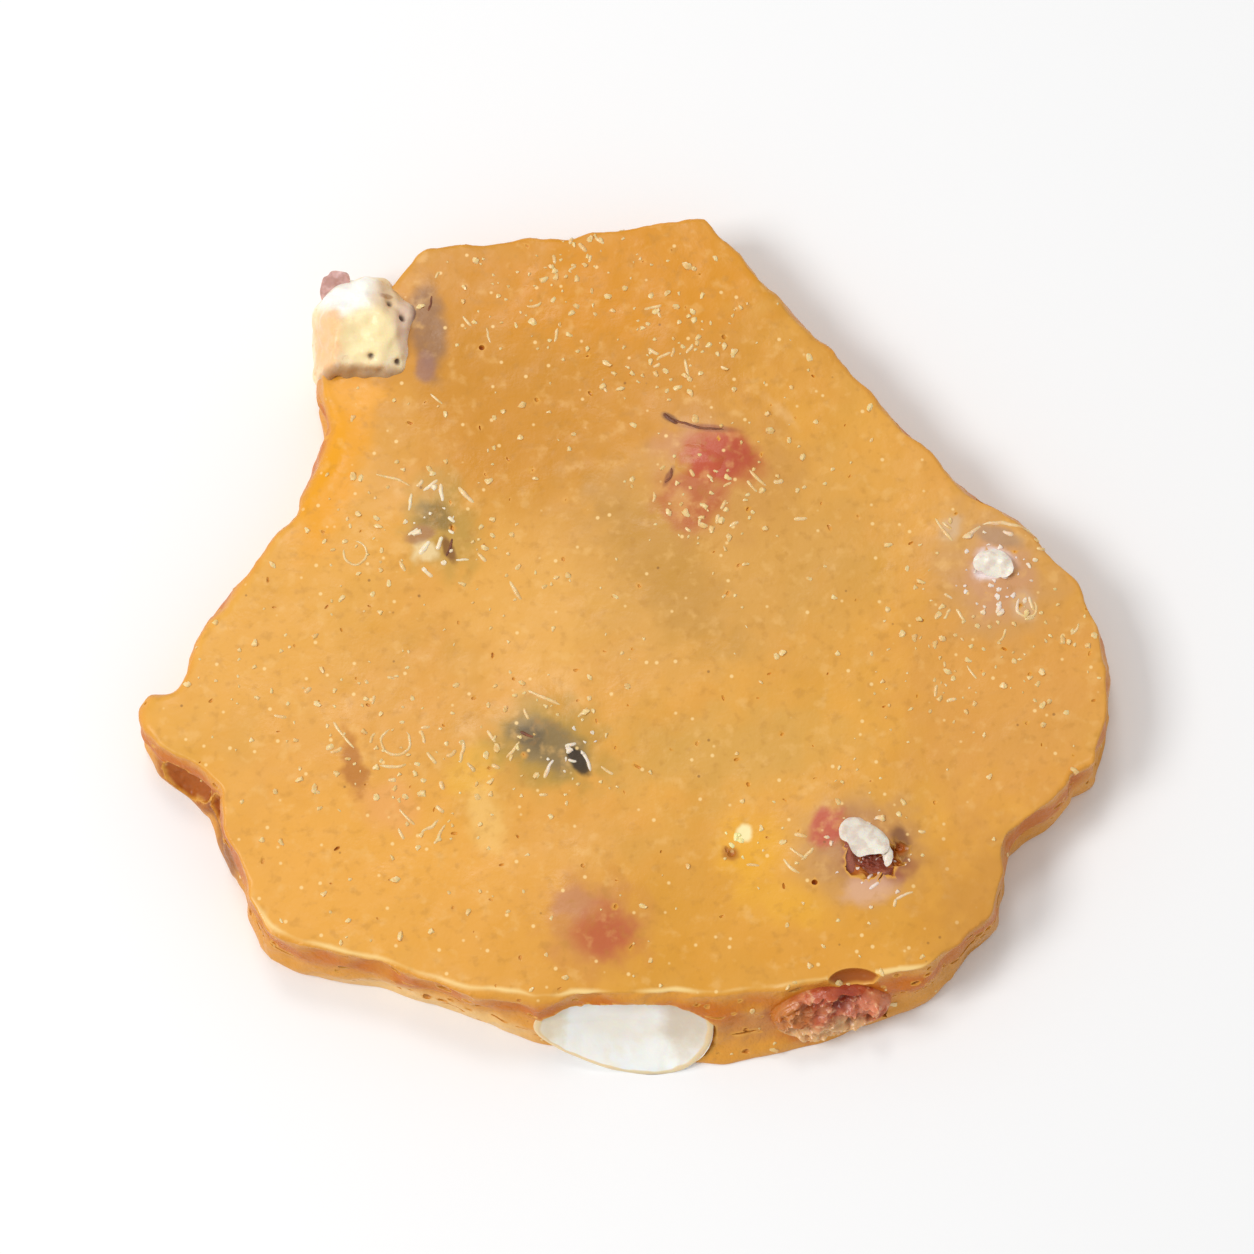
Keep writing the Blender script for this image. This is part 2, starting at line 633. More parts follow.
    def paint(self, name: str, shift: Vector) -> Paint:
        """Starts a material with all that shows in or under the glazed face."""
        paint = Paint(name, self.honey, shift)
        paint.mottle(self.drifts)
        paint.overlay(Layer.FACE)
        paint.mottle(self.speckle)
        paint.stain(self.spots)
        paint.dot((Dots("#80501F", 2.9, 0.16, 0.6), Dots("#FBD48E", 1.5, 0.2, 0.85)))
        return paint

    def build(self, shift: Vector) -> bpy.types.Material:
        """Makes the slab's material."""
        paint = self.paint("poured_candy", shift)
        paint.tint((Tint(Mark.WALL, 0.0, 1.0, self.straw, 1.0),))
        paint.overlay(Layer.WALL)
        paint.tint(
            (
                Tint(Mark.LIP, 0.05, 0.75, "#CC6C04", 0.9),
                Tint(Mark.RIM, 0.3, 1.0, "#FFDF98", 0.8),
                Tint(Mark.PIT, 0.02 * MM, 0.35 * MM, "#A85214", 0.9),
            )
        )
        paint.gloss(0.26, 0.44, 2.5)
        paint.grain((Grain(0.7, 0.16, Mark.WALL), Grain(0.35, 0.016)))
        paint.shader.inputs["Specular IOR Level"].default_value = self.shine
        return paint.finish(1.5, 1.1, 0.0)

    def build_over_kernel(self, shift: Vector) -> bpy.types.Material:
        """Makes the thin glaze over a kernel that swells the face, stained as the face is."""
        paint = self.paint("glazed_red_skin", shift)
        paint.gloss(0.22, 0.36, 2.0)
        paint.grain((Grain(0.5, 0.03),))
        paint.shader.inputs["Specular IOR Level"].default_value = self.shine
        return paint.finish(1.5, 0.9, 0.0)


@dataclass(frozen=True)
class BlanchedKernel:
    """Roasted peanut without its skin: ivory, waxy, toasted to tan where it stands out."""

    ivory: str = "#FFE6B8"
    toasts: tuple[Mottle, ...] = (
        Mottle("#F2CB92", 3.2, 0.48, 0.64, 0.6),
        Mottle("#FFF6E2", 1.8, 0.5, 0.66, 0.6),
        Mottle("#D9A468", 0.7, 0.58, 0.7, 0.5),
    )
    patches: tuple[Stain, ...] = (
        Stain(Point(-21.4, 23.4, 8.0), Point(2.9, 2.2, 3.6), -15, "#FFFDF4", 0.95, 0.6, 0.5),
        Stain(Point(-17.6, 23.0, 8.0), Point(1.8, 2.0, 3.6), 0, "#E3BF93", 0.7, 0.8, 0.6),
        Stain(Point(-22.9, 19.6, 6.5), Point(1.5, 2.6, 3.6), 0, "#F7BE84", 0.85, 0.7, 0.6),
        Stain(Point(-19.6, 19.8, 7.5), Point(2.2, 2.4, 3.6), 0, "#FFE7AE", 0.8, 0.7, 0.6),
        Stain(Point(-16.4, 20.6, 6.5), Point(1.2, 2.6, 3.6), 10, "#F7D6C0", 0.75, 0.8, 0.5),
        Stain(Point(-15.5, 21.4, 6.0), Point(0.8, 3.0, 3.6), 8, "#8A6058", 0.8, 0.7, 0.4),
        Stain(Point(-20.0, 16.9, 6.0), Point(4.0, 0.7, 3.6), 0, "#A06C3A", 0.75, 0.8, 0.5),
        Stain(Point(-17.3, 24.0, 8.0), Point(0.5, 0.35, 3.6), 0, "#B07C4C", 0.8, 0.6, 0.2),
        Stain(Point(-18.2, 23.2, 8.0), Point(0.5, 0.3, 3.6), 0, "#B88654", 0.8, 0.6, 0.2),
    )

    def build(self, shift: Vector) -> bpy.types.Material:
        """Makes the material."""
        paint = Paint("blanched_peanut", self.ivory, shift)
        paint.mottle(self.toasts)
        paint.stain(self.patches)
        paint.tint((Tint(Mark.PIT, 0.2, 0.75, "#4E2D1C", 0.92),))
        paint.gloss(0.28, 0.44, 2.0)
        paint.grain((Grain(0.45, 0.05),))
        return paint.finish(1.47, 1.0, 0.25)


@dataclass(frozen=True)
class SplitFace:
    """The flat inner face of a peanut half: pearly white, smooth, with a thin tan edge."""

    pearl: str = "#FFFDF4"
    clouds: tuple[Mottle, ...] = (
        Mottle("#F6EAD6", 3.0, 0.5, 0.68, 0.5),
        Mottle("#FFFFFF", 1.8, 0.46, 0.64, 0.6),
    )
    patches: tuple[Stain, ...] = (
        Stain(Point(4.8, -33.6, 4.0), Point(2.0, 3.0, 3.4), 0, "#D2BEA2", 0.75, 0.9, 0.6),
        Stain(Point(-5.4, -33.0, 4.0), Point(1.2, 2.2, 3.0), 0, "#E7CFA4", 0.6, 0.9, 0.6),
        Stain(Point(0.6, -32.0, 5.6), Point(5.0, 0.8, 0.9), 0, "#C99F6C", 0.6, 0.9, 0.4),
    )

    def build(self, shift: Vector) -> bpy.types.Material:
        """Makes the material."""
        paint = Paint("split_peanut", self.pearl, shift)
        paint.mottle(self.clouds)
        paint.stain(self.patches)
        paint.tint((Tint(Mark.RIDGE, 0.5, 1.0, "#F0CF9A", 0.85), Tint(Mark.DEEP, 0.6, 1.0, "#F5EBDA", 0.5)))
        paint.gloss(0.1, 0.22, 2.0)
        paint.grain((Grain(0.6, 0.03),))
        return paint.finish(1.47, 1.0, 0.25)


@dataclass(frozen=True)
class TornKernel:
    """A red-skinned peanut torn open: deep red hollow, pink and white fibres on its ridges."""

    skin: str = "#BC5A36"
    clouds: tuple[Mottle, ...] = (
        Mottle("#DA8A5C", 1.5, 0.46, 0.6, 0.8),
        Mottle("#A04830", 0.9, 0.52, 0.68, 0.6),
        Mottle("#EEC090", 0.7, 0.58, 0.7, 0.7),
    )
    tears: tuple[Stain, ...] = (
        Stain(Point(11.4, -33.4, 3.0), Point(2.6, 3.0, 3.0), 0, "#C67A34", 0.95, 0.9, 0.5),
        Stain(Point(16.8, -32.0, 4.4), Point(1.5, 1.3, 1.0), 0, "#9C3A22", 0.85, 0.7, 0.4),
        Stain(Point(18.2, -32.6, 3.6), Point(1.4, 1.3, 1.3), 0, "#E38C68", 0.8, 0.7, 0.5),
        Stain(Point(15.8, -34.2, 1.4), Point(4.4, 2.4, 1.8), 0, "#E8BC84", 0.9, 0.7, 0.6),
        Stain(Point(18.9, -21.8, 6.5), Point(3.2, 2.6, 3.0), 0, "#A4604C", 0.8, 0.8, 0.6),
    )

    def build(self, name: str, shift: Vector) -> bpy.types.Material:
        """Makes the material.

        Args:
            name: The material's name.
            shift: From the slab's layout to the part's frame, in millimetres.

        Returns:
            The material.
        """
        paint = Paint(name, self.skin, shift)
        paint.mottle(self.clouds)
        paint.stain(self.tears)
        paint.tint(
            (Tint(Mark.DEEP, 0.45, 1.0, "#8A3420", 0.5), Tint(Mark.RIDGE, 0.3, 0.9, "#EFB98C", 0.65))
        )
        paint.gloss(0.18, 0.38, 1.5)
        paint.grain((Grain(0.4, 0.08),))
        return paint.finish(1.5, 0.8, 0.25)


@dataclass(frozen=True)
class Scrap:
    """Something small in one colour with a little drift: torn skin, crumbs, a bubble's rim."""

    name: str
    ground: str
    drift: str
    roughness: float
    depth: float = 0.5
    # Where the scraps take the colour of what lies under them.
    near: tuple[Stain, ...] = ()

    def build(self, shift: Vector) -> bpy.types.Material:
        """Makes the material."""
        paint = Paint(self.name, self.ground, shift)
        paint.mottle((Mottle(self.drift, 0.8, 0.42, 0.62, 0.9),))
        paint.stain(self.near)
        paint.gloss(0.8 * self.roughness, 1.2 * self.roughness, 0.8)
        paint.grain((Grain(0.3, 0.02),))
        return paint.finish(1.5, self.depth, 0.25)


# ----------------------------------------------------------------------------------------------
# The slab
# ----------------------------------------------------------------------------------------------


class BubbleField(NamedTuple):
    """Bubbles opened along one kind of surface, thickest at one level of the wall."""

    on_wall: bool
    level: float
    spread: float
    spacing: float
    density: float
    smallest: float
    largest: float
    flatness: float
    # How drawn out they are along the wall.
    stretch: float = 1.0


class Hollow(NamedTuple):
    """A single hole in the candy, as an ellipsoid with a ragged surface."""

    middle: Point
    half: Point
    turn: Point = Point(0, 0, 0)
    raggedness: float = 0.0


@dataclass
class Slab:
    """The poured candy: its broken outline, leaning walls, swelling face and burst bubbles."""

    piece: str = "poured_slab"
    thickness: float = 6.3
    swell_rise: float = 0.35
    swell_length: float = 17.0
    wall_belly: float = 0.55
    belly_length: float = 5.5
    wall_roughness: float = 0.22
    roughness_length: float = 2.2
    # Over 1, the wall is drawn in under its upper edge.
    wall_hollowing: float = 1.3
    chip_depth: float = 0.3
    chip_length: float = 2.6
    nick_depth: float = 0.12
    nick_length: float = 0.7
    rim_radius: float = 0.26
    foot_radius: float = 0.3
    foot_rows: int = 4
    wall_row_count: int = 22
    rim_rows: int = 5
    edge_step: float = 0.28
    face_step: float = 0.4
    base_step: float = 1.3
    bubble_shapes: int = 4
    # The bright upper edge: how wide it is, which way it is brightest, and how bright elsewhere.
    edge_width: float = 0.3
    crisp_side: Vector = field(default_factory=lambda: Vector((-0.35, -0.94)))
    dull_edge: float = 0.2
    # Corners of the face, anticlockwise, and how far the wall's foot stands outside each.
    corners: tuple[Point, ...] = (
        Point(6.4, 30.0, 0.6),
        Point(-4.2, 28.3, 0.9),
        Point(-15.3, 27.7, 0.5),
        Point(-16.9, 26.0, 0.3),
        Point(-18.8, 23.4, 0.2),
        Point(-20.6, 20.2, 0.2),
        Point(-23.2, 18.0, 0.0),
        Point(-23.6, 16.0, 0.1),
        Point(-22.9, 13.0, 0.4),
        Point(-25.0, 5.7, 0.8),
        Point(-32.6, -4.2, 0.4),
        Point(-32.8, -6.8, 0.3),
        Point(-33.9, -8.2, 0.2),
        Point(-36.1, -8.5, 0.0),
        Point(-36.7, -9.9, -0.1),
        Point(-36.4, -11.3, 0.1),
        Point(-35.0, -13.0, 0.7),
        Point(-32.0, -14.2, 1.6),
        Point(-30.1, -16.1, 1.7),
        Point(-29.9, -19.0, 1.0),
        Point(-28.1, -22.6, 0.5),
        Point(-28.0, -24.6, 0.6),
        Point(-26.6, -26.6, 0.9),
        Point(-24.2, -28.0, 1.0),
        Point(-17.7, -29.4, 0.8),
        Point(-11.7, -31.7, 0.5),
        Point(-6.3, -32.9, 1.6),
        Point(-3.6, -31.9, 3.2),
        Point(7.7, -31.9, 4.2),
        Point(15.3, -30.9, 3.3),
        Point(22.6, -30.0, 1.3),
        Point(24.8, -28.3, 0.8),
        Point(27.8, -25.5, 0.5),
        Point(28.8, -19.8, 0.5),
        Point(33.2, -15.8, 0.8),
        Point(33.6, -14.7, 0.8),
        Point(35.6, -13.9, 0.8),
        Point(36.8, -9.1, 0.6),
        Point(36.1, -2.8, 0.6),
        Point(34.8, 0.0, 0.8),
        Point(29.9, 5.4, 1.1),
        Point(26.7, 7.4, 1.2),
        Point(21.3, 13.0, 1.0),
    )
    # Where the face rises over what lies in the candy: x, y, rise and radius.
    mounds: tuple[tuple[float, float, float, float], ...] = (
        (6.6, 9.0, 0.45, 6.0),
        (28.0, 1.0, 0.4, 5.5),
        (18.0, -20.9, 0.4, 5.0),
        (-2.0, -26.4, 0.45, 5.0),
        (-14.2, 4.5, 0.4, 4.5),
        (-5.5, -12.5, 0.3, 5.0),
        (-19.0, -13.0, 0.25, 5.5),
        (-17.5, 20.5, 0.3, 6.0),
    )
    # Where the upper edge is rounder than elsewhere: x, y, added radius and reach.
    soft_edges: tuple[tuple[float, float, float, float], ...] = (
        (-23.2, 10.5, 1.6, 5.5),
        (-30.0, -2.0, 0.8, 5.0),
        (14.0, 21.0, 0.3, 8.0),
        (-36.0, -9.8, 0.9, 2.6),
        (-8.0, -33.0, 0.5, 3.0),
    )
    bubble_fields: tuple[BubbleField, ...] = (
        BubbleField(True, 0.5, 0.5, 0.55, 0.5, 0.1, 0.38, 0.8),
        BubbleField(True, 0.45, 0.4, 1.6, 0.09, 0.12, 0.2, 2.2, 5.0),
        BubbleField(False, 1.0, 0.02, 2.0, 0.05, 0.09, 0.2, 0.9),
        BubbleField(False, 0.0, 0.02, 1.6, 0.12, 0.25, 0.9, 0.3),
    )
    hollows: tuple[Hollow, ...] = (
        Hollow(Point(0.3, -34.5, 2.4), Point(7.1, 3.5, 2.3), Point(50, 0, 0), 0.35),
        Hollow(Point(15.8, -32.5, 2.7), Point(4.2, 2.1, 2.2), Point(62, 0, 8), 1.2),
        Hollow(Point(17.3, -31.0, 6.4), Point(2.0, 1.1, 1.5)),
        Hollow(Point(18.9, -21.8, 7.4), Point(2.4, 1.7, 1.7), Point(0, 0, -15), 1.2),
        Hollow(Point(20.9, -20.7, 7.1), Point(0.6, 1.2, 0.7), Point(0, 0, 8), 0.5),
        Hollow(Point(8.2, -21.1, 6.7), Point(0.4, 0.36, 0.5), Point(0, 0, 0), 0.1),
        Hollow(Point(-10.9, 19.3, 6.45), Point(0.24, 0.22, 0.4)),
        Hollow(Point(14.4, -23.4, 6.6), Point(0.24, 0.22, 0.4)),
        Hollow(Point(-33.6, -14.6, 2.6), Point(2.6, 1.6, 2.1), Point(0, 0, -25), 0.35),
        Hollow(Point(-31.0, -18.0, 3.0), Point(1.1, 2.2, 1.6), Point(0, 0, 0), 0.4),
        Hollow(Point(-21.0, -29.2, 3.6), Point(0.35, 0.9, 0.3)),
    )
    outline: list[Vector] = field(default_factory=list, init=False)
    outward: list[Vector] = field(default_factory=list, init=False)
    shift: Vector = field(default_factory=Vector, init=False)

    def lay_out(self) -> Vector:
        """Works out the outline, and where the layout lies in the part's frame.

        Returns:
            The shift from the layout to the part's frame, in millimetres.
        """
        self.outline = self.divided_outline()
        self.outward = self.outward_directions()
        widest = []
        for level in (0.05, 0.3, 0.5, 0.7, 0.95):
            for point, out in zip(self.outline, self.outward):
                top = self.face_height(point.x, point.y)
                widest.append(point.xy + out * self.wall_reach(point, level * top, top))
        low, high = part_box("candy_slab")
        middle = [(min(p[axis] for p in widest) + max(p[axis] for p in widest)) / 2 for axis in (0, 1)]
        box_middle = (low + high) / 2 / MM
        self.shift = Vector((box_middle.x - middle[0], box_middle.y - middle[1], 0.0))
        return self.shift

    def face_height(self, x: float, y: float) -> float:
        """Height of the poured face above the underside, at a place in the layout."""
        height = self.thickness + self.swell_rise * wave((x, y, 0.0), self.swell_length)
        for mound_x, mound_y, rise, radius in self.mounds:
            apart = (x - mound_x) ** 2 + (y - mound_y) ** 2
            height += rise * math.exp(-apart / radius**2)
        return height

    def divided_outline(self) -> list[Vector]:
        """Points along the face's edge, with the wall's lean as their third number."""
        points = []
        for index, corner in enumerate(self.corners):
            start, end = Vector(corner), Vector(self.corners[(index + 1) % len(self.corners)])
            side = (end - start).xy
            steps = max(1, round(side.length / self.edge_step))
            outward = Vector((side.y, -side.x)).normalized()
            for step in range(steps):
                share = step / steps
                point = start.lerp(end, share)
                flat = (point.x, point.y, 0.0)
                ease = min(1.0, min(share, 1 - share) * side.length / 1.2)
                chip = ease * self.chip_depth * wave(flat, self.chip_length, seed=40.0)
                chip += self.nick_depth * wave(flat, self.nick_length, seed=60.0)
                point.xy += outward * chip
                points.append(point)
        for _ in range(3):
            points = [
                (points[index - 1] + 2 * point + points[(index + 1) % len(points)]) / 4
                for index, point in enumerate(points)
            ]
        return points

    def outward_directions(self) -> list[Vector]:
        """The direction straight out of the wall at each point, eased round the corners."""
        points = self.outline
        reach = round(1.5 / self.edge_step)
        found = []
        for index, _ in enumerate(points):
            along = points[(index + reach) % len(points)].xy - points[index - reach].xy
            found.append(Vector((along.y, -along.x)).normalized())
        return found

    def rim_here(self, point: Vector) -> float:
        """The radius of the wall's upper edge at a point of the outline."""
        chip = wave((point.x, point.y, 0.0), 3.1, seed=80.0)
        radius = self.rim_radius * (1 + 0.45 * chip + 1.2 * max(0.0, chip - 0.35))
        for edge_x, edge_y, added, reach in self.soft_edges:
            apart = (point.x - edge_x) ** 2 + (point.y - edge_y) ** 2
            radius += added * math.exp(-apart / reach**2)
        return radius

    def wall_section(self, height: float, rim: float) -> list[tuple[float, float, float]]:
        """The wall's section from its foot to the face.

        Args:
            height: The wall's height here.
            rim: The radius of its upper edge here.

        Returns:
            For each row its height, how far it is drawn in, and how much it is broken wall.
        """
        rows = []
        for step in range(self.foot_rows):
            angle = math.pi / 2 * step / self.foot_rows
            rise = self.foot_radius * (1 - math.cos(angle))
            rows.append((rise, self.foot_radius * (1 - math.sin(angle)), 1.0))
        low, high = self.foot_radius, height - rim
        for step in range(self.wall_row_count):
            rows.append((low + (high - low) * step / self.wall_row_count, 0.0, 1.0))
        for step in range(self.rim_rows):
            share = step / (self.rim_rows - 1)
            angle = math.pi / 2 * share
            wall = 1 - smooth_step(0.2, 0.9, share)
            rows.append((high + rim * math.sin(angle), rim * (1 - math.cos(angle)), wall))
        return rows

    def wall_reach(self, point: Vector, height: float, top: float) -> float:
        """How far the wall stands out from the face's edge at this height."""
        level = min(1.0, height / top)
        belly = 4 * level * (1 - level)
        swell = self.wall_belly * wave((point.x, point.y, 0.0), self.belly_length, seed=15.0)
        rough = self.wall_roughness * wave((point.x, point.y, height), self.roughness_length)
        return point.z * (1 - level) ** self.wall_hollowing + belly * (swell + rough)

    def fill(self, edge: Sequence[Vector], step: float) -> tuple[list[Vector], list[list[int]]]:
        """Fills a closed outline with near-even triangles.

        Args:
            edge: The outline's points.
            step: The spacing of the points inside it.

        Returns:
            The inner points, and triangles that number the edge first and then those points.
        """
        count = len(edge)
        near = kdtree.KDTree(count)
        for index, point in enumerate(edge):
            near.insert((point.x, point.y, 0.0), index)
        near.balance()
        low_x, high_x = min(p.x for p in edge), max(p.x for p in edge)
        low_y, high_y = min(p.y for p in edge), max(p.y for p in edge)
        row_step = step * math.sqrt(3) / 2
        flat = [point.xy for point in edge]
        for row in range(int((high_y - low_y) / row_step) + 1):
            y = low_y + (row + 0.5) * row_step
            for column in range(int((high_x - low_x) / step) + 1):
                x = low_x + (column + 0.5 * (row % 2)) * step
                if near.find((x, y, 0.0))[2] > 0.6 * step:
                    flat.append(Vector((x, y)))
        _, _, triangles, sources, _, _ = delaunay_2d_cdt(flat, [], [range(count)], 1, 1e-6)
        named = [[sources[corner][0] for corner in triangle] for triangle in triangles]
        used = sorted({corner for triangle in named for corner in triangle if corner >= count})
        number = {old: count + new for new, old in enumerate(used)}
        named = [[number.get(corner, corner) for corner in triangle] for triangle in named]
        return [flat[old] for old in used], named

    def body_mesh(self) -> bpy.types.Mesh:
        """Builds the closed slab with its marks, before relief and bubbles."""
        count = len(self.outline)
        tops = [self.face_height(point.x, point.y) for point in self.outline]
        rims = [self.rim_here(point) for point in self.outline]
        sections = [self.wall_section(top, rim) for top, rim in zip(tops, rims)]
        row_count = len(sections[0])
        places, walls, faces = [], [], []
        for row in range(row_count):
            for point, out, top, section in zip(self.outline, self.outward, tops, sections):
                height, drawn_in, wall = section[row]
                side = point.xy + out * (self.wall_reach(point, height, top) - drawn_in)
                places.append(Vector((side.x, side.y, height)))
                walls.append(wall)
        for row in range(row_count - 1):
            for index in range(count):
                after = (index + 1) % count
                low, high = row * count, (row + 1) * count
                faces.append((low + index, low + after, high + after, high + index))
        top_start = (row_count - 1) * count
        for start, step, is_face in ((top_start, self.face_step, True), (0, self.base_step, False)):
            edge = places[start : start + count]
            inner, triangles = self.fill(edge, step)
            added = len(places) - count
            for triangle in triangles:
                corners = [start + i if i < count else added + i for i in triangle]
                faces.append(corners if is_face else corners[::-1])
            for point in inner:
                height = self.face_height(point.x, point.y) if is_face else 0.0
                places.append(Vector((point.x, point.y, height)))
                walls.append(0.0)
        mesh = bpy.data.meshes.new("candy")
        mesh.from_pydata([(place + self.shift) * MM for place in places], [], faces)
        mesh.validate()
        near = kdtree.KDTree(count)
        for index, place in enumerate(places[top_start : top_start + count]):
            near.insert(place, index)
        near.balance()
        set_marks(
            mesh,
            {
                Mark.WALL: walls,
                Mark.LEVEL: [place.z / self.face_height(place.x, place.y) for place in places],
                Mark.RIM: [self.edge_light(place, *near.find(place)[1:]) for place in places],
                Mark.LIP: [wall * self.lip_shade(place) for place, wall in zip(places, walls)],
                Mark.FREE: [smooth_step(0.05, 0.9, place.z) for place in places],
            },
        )
        return mesh

    def edge_light(self, place: Vector, nearest: int, apart: float) -> float:
        """How bright the thin upper edge is at a place this far from it: crisp at the front."""
        front = smooth_step(0.35, 0.95, self.outward[nearest].dot(self.crisp_side))
        front *= 1 - smooth_step(-26.0, -21.0, place.y)
        least = self.dull_edge
        share = least + (1 - least) * front
        return share * math.exp(-((apart / self.edge_width) ** 2)) * (0.8 + 0.7 * wave(place, 3.0, 25.0))

    def lip_shade(self, place: Vector) -> float:
        """How much a place on the wall lies in the warm shade under the upper edge."""
        level = place.z / self.face_height(place.x, place.y)
        return math.exp(-(((level - 0.68) / 0.22) ** 2)) * (0.7 + 0.8 * wave(place, 2.5, seed=35.0))

    def relief(self, material: bpy.types.Material) -> Recipe:
        """The surfaces' small shape: ripples on the face, shell-like facets on the wall."""
        recipe = Recipe(
            "candy_relief",
            {
                "Ripple height": 0.24 * MM,
                "Ripple length": 4.6 * MM,
                "Grain height": 0.1 * MM,
                "Grain length": 1.4 * MM,
                "Facet height": 0.75 * MM,
                "Facet length": 3.8 * MM,
                "Fracture height": 0.4 * MM,
                "Fracture length": 1.5 * MM,
            },
        )
        sizes = recipe.inputs
        place = recipe.add("GeometryNodeInputPosition").outputs[0]
        # The break runs in level layers.
        layered = recipe.add(
            "ShaderNodeVectorMath", {0: place, 1: (1.0, 1.0, 1.8)}, operation="MULTIPLY"
        ).outputs[0]
        heights = {}
        for label, vector in (("Ripple", place), ("Grain", place), ("Fracture", layered)):
            length = sizes[f"{label} length"]
            scale = recipe.add("ShaderNodeMath", {0: 1.0, 1: length}, operation="DIVIDE")
            bumps = recipe.add(
                "ShaderNodeTexNoise",
                {"Vector": vector, "Scale": scale, "Detail": 4.0, "Roughness": 0.55},
            )
            centred = recipe.add("ShaderNodeMath", {0: bumps, 1: 0.5}, operation="SUBTRACT")
            height = {0: centred, 1: sizes[f"{label} height"]}
            scaled = recipe.add("ShaderNodeMath", height, operation="MULTIPLY")
            heights[label] = scaled.outputs[0]
        face = recipe.add("ShaderNodeMath", {0: heights["Ripple"], 1: heights["Grain"]}, operation="ADD")
        scale = recipe.add("ShaderNodeMath", {0: 1.0, 1: sizes["Facet length"]}, operation="DIVIDE")
        cells = recipe.add(
            "ShaderNodeTexVoronoi",
            {"Vector": layered, "Scale": scale, "Smoothness": 0.08},
            feature="SMOOTH_F1",
        )
        scoop = recipe.add("ShaderNodeMath", {0: cells.outputs["Distance"], 1: 0.45}, operation="SUBTRACT")
        wall = recipe.add(
            "ShaderNodeMath",
            {0: scoop, 1: sizes["Facet height"], 2: heights["Fracture"]},
            operation="MULTIPLY_ADD",
        )
        on_wall = recipe.add("GeometryNodeInputNamedAttribute", {"Name": Mark.WALL.value})
        chosen = recipe.add("ShaderNodeMix", {0: on_wall, 2: face, 3: wall}, data_type="FLOAT")
        free = recipe.add("GeometryNodeInputNamedAttribute", {"Name": Mark.FREE.value})
        freed = recipe.add("ShaderNodeMath", {0: chosen, 1: free}, operation="MULTIPLY")
        normal = recipe.add("GeometryNodeInputNormal")
        offset = recipe.add("ShaderNodeVectorMath", {0: normal, "Scale": freed}, operation="SCALE")
        moved = recipe.add("GeometryNodeSetPosition", {"Geometry": sizes["Geometry"], "Offset": offset})
        recipe.finish(moved.outputs[0], material)
        return recipe

    def bubbles(self, material: bpy.types.Material) -> Recipe:
        """Bubbles opened by the break, pinholes, pocks and the single hollows, all cut out."""
        sizes = {}
        for number, kind in enumerate(self.bubble_fields):
            sizes[f"Spacing {number}"] = kind.spacing * MM
            sizes[f"Smallest {number}"] = kind.smallest * MM
            sizes[f"Largest {number}"] = kind.largest * MM
        recipe = Recipe("burst_bubbles", sizes)
        whole = recipe.inputs["Geometry"]
        cut = recipe.add("GeometryNodeMeshBoolean", {0: whole}, operation="DIFFERENCE", solver="MANIFOLD")
        lumps = recipe.lumps(self.bubble_shapes, 2, 0.95)
        for number, kind in enumerate(self.bubble_fields):
            recipe.tree.links.new(self.scatter_bubbles(recipe, number, kind, lumps), cut.inputs[1])
        ball = recipe.add("GeometryNodeMeshIcoSphere", {"Radius": 1.0, "Subdivisions": 5})
        tears = recipe.add("ShaderNodeTexNoise", {"Scale": 1 / (1.4 * MM), "Detail": 3.0})
        centred = recipe.add(
            "ShaderNodeVectorMath", {0: tears.outputs["Color"], 1: (0.5, 0.5, 0.5)},
            operation="SUBTRACT",
        )
        for hollow in self.hollows:
            placed = recipe.add(
                "GeometryNodeTransform",
                {
                    "Geometry": ball,
                    "Translation": (self.shift + Vector(hollow.middle)) * MM,
                    "Rotation": [math.radians(angle) for angle in hollow.turn],
                    "Scale": Vector(hollow.half) * MM,
                },
            )
            torn = recipe.add(
                "ShaderNodeVectorMath",
                {0: centred, "Scale": 3 * hollow.raggedness * MM},
                operation="SCALE",
            )
            ragged = recipe.add("GeometryNodeSetPosition", {"Geometry": placed, "Offset": torn})
            recipe.tree.links.new(ragged.outputs[0], cut.inputs[1])
        depth = recipe.add("GeometryNodeProximity", {0: whole}, target_element="FACES")
        pit = {"Geometry": cut, "Name": Mark.PIT.value, "Value": depth.outputs["Distance"]}
        marked = recipe.add("GeometryNodeStoreNamedAttribute", pit)
        recipe.finish(marked.outputs[0], material)
        return recipe

    def scatter_bubbles(
        self, recipe: Recipe, number: int, kind: BubbleField, lumps: bpy.types.NodeSocket
    ) -> bpy.types.NodeSocket:
        """Scatters one field's bubbles over its surface.

        Args:
            recipe: The tree that cuts them out.
            number: The field's number, which names its sizes and seeds its chances.
            kind: The field.
            lumps: The shapes to pick from.

        Returns:
            The socket with the bubbles, as instances.
        """
        sizes = recipe.inputs
        level = recipe.add("GeometryNodeInputNamedAttribute", {"Name": Mark.LEVEL.value})
        wall = recipe.add("GeometryNodeInputNamedAttribute", {"Name": Mark.WALL.value})
        off_level = recipe.add("ShaderNodeMath", {0: level, 1: kind.level}, operation="SUBTRACT")
        apart = recipe.add("ShaderNodeMath", {0: off_level}, operation="ABSOLUTE")
        crowd = recipe.add(
            "ShaderNodeMapRange",
            {"Value": apart, "From Min": kind.spread, "From Max": 0.1 * kind.spread},
        )
        side = recipe.add(
            "FunctionNodeCompare",
            {0: wall, 1: 0.9 if kind.on_wall else 0.1},
            operation="GREATER_THAN" if kind.on_wall else "LESS_THAN",
        )
        points = recipe.add(
            "GeometryNodeDistributePointsOnFaces",
            {
                "Mesh": sizes["Geometry"],
                "Selection": side,
                "Distance Min": sizes[f"Spacing {number}"],
                "Density Max": kind.density / MM**2,
                "Density Factor": crowd,
                "Seed": 7 + number,
            },
            distribute_method="POISSON",
        )
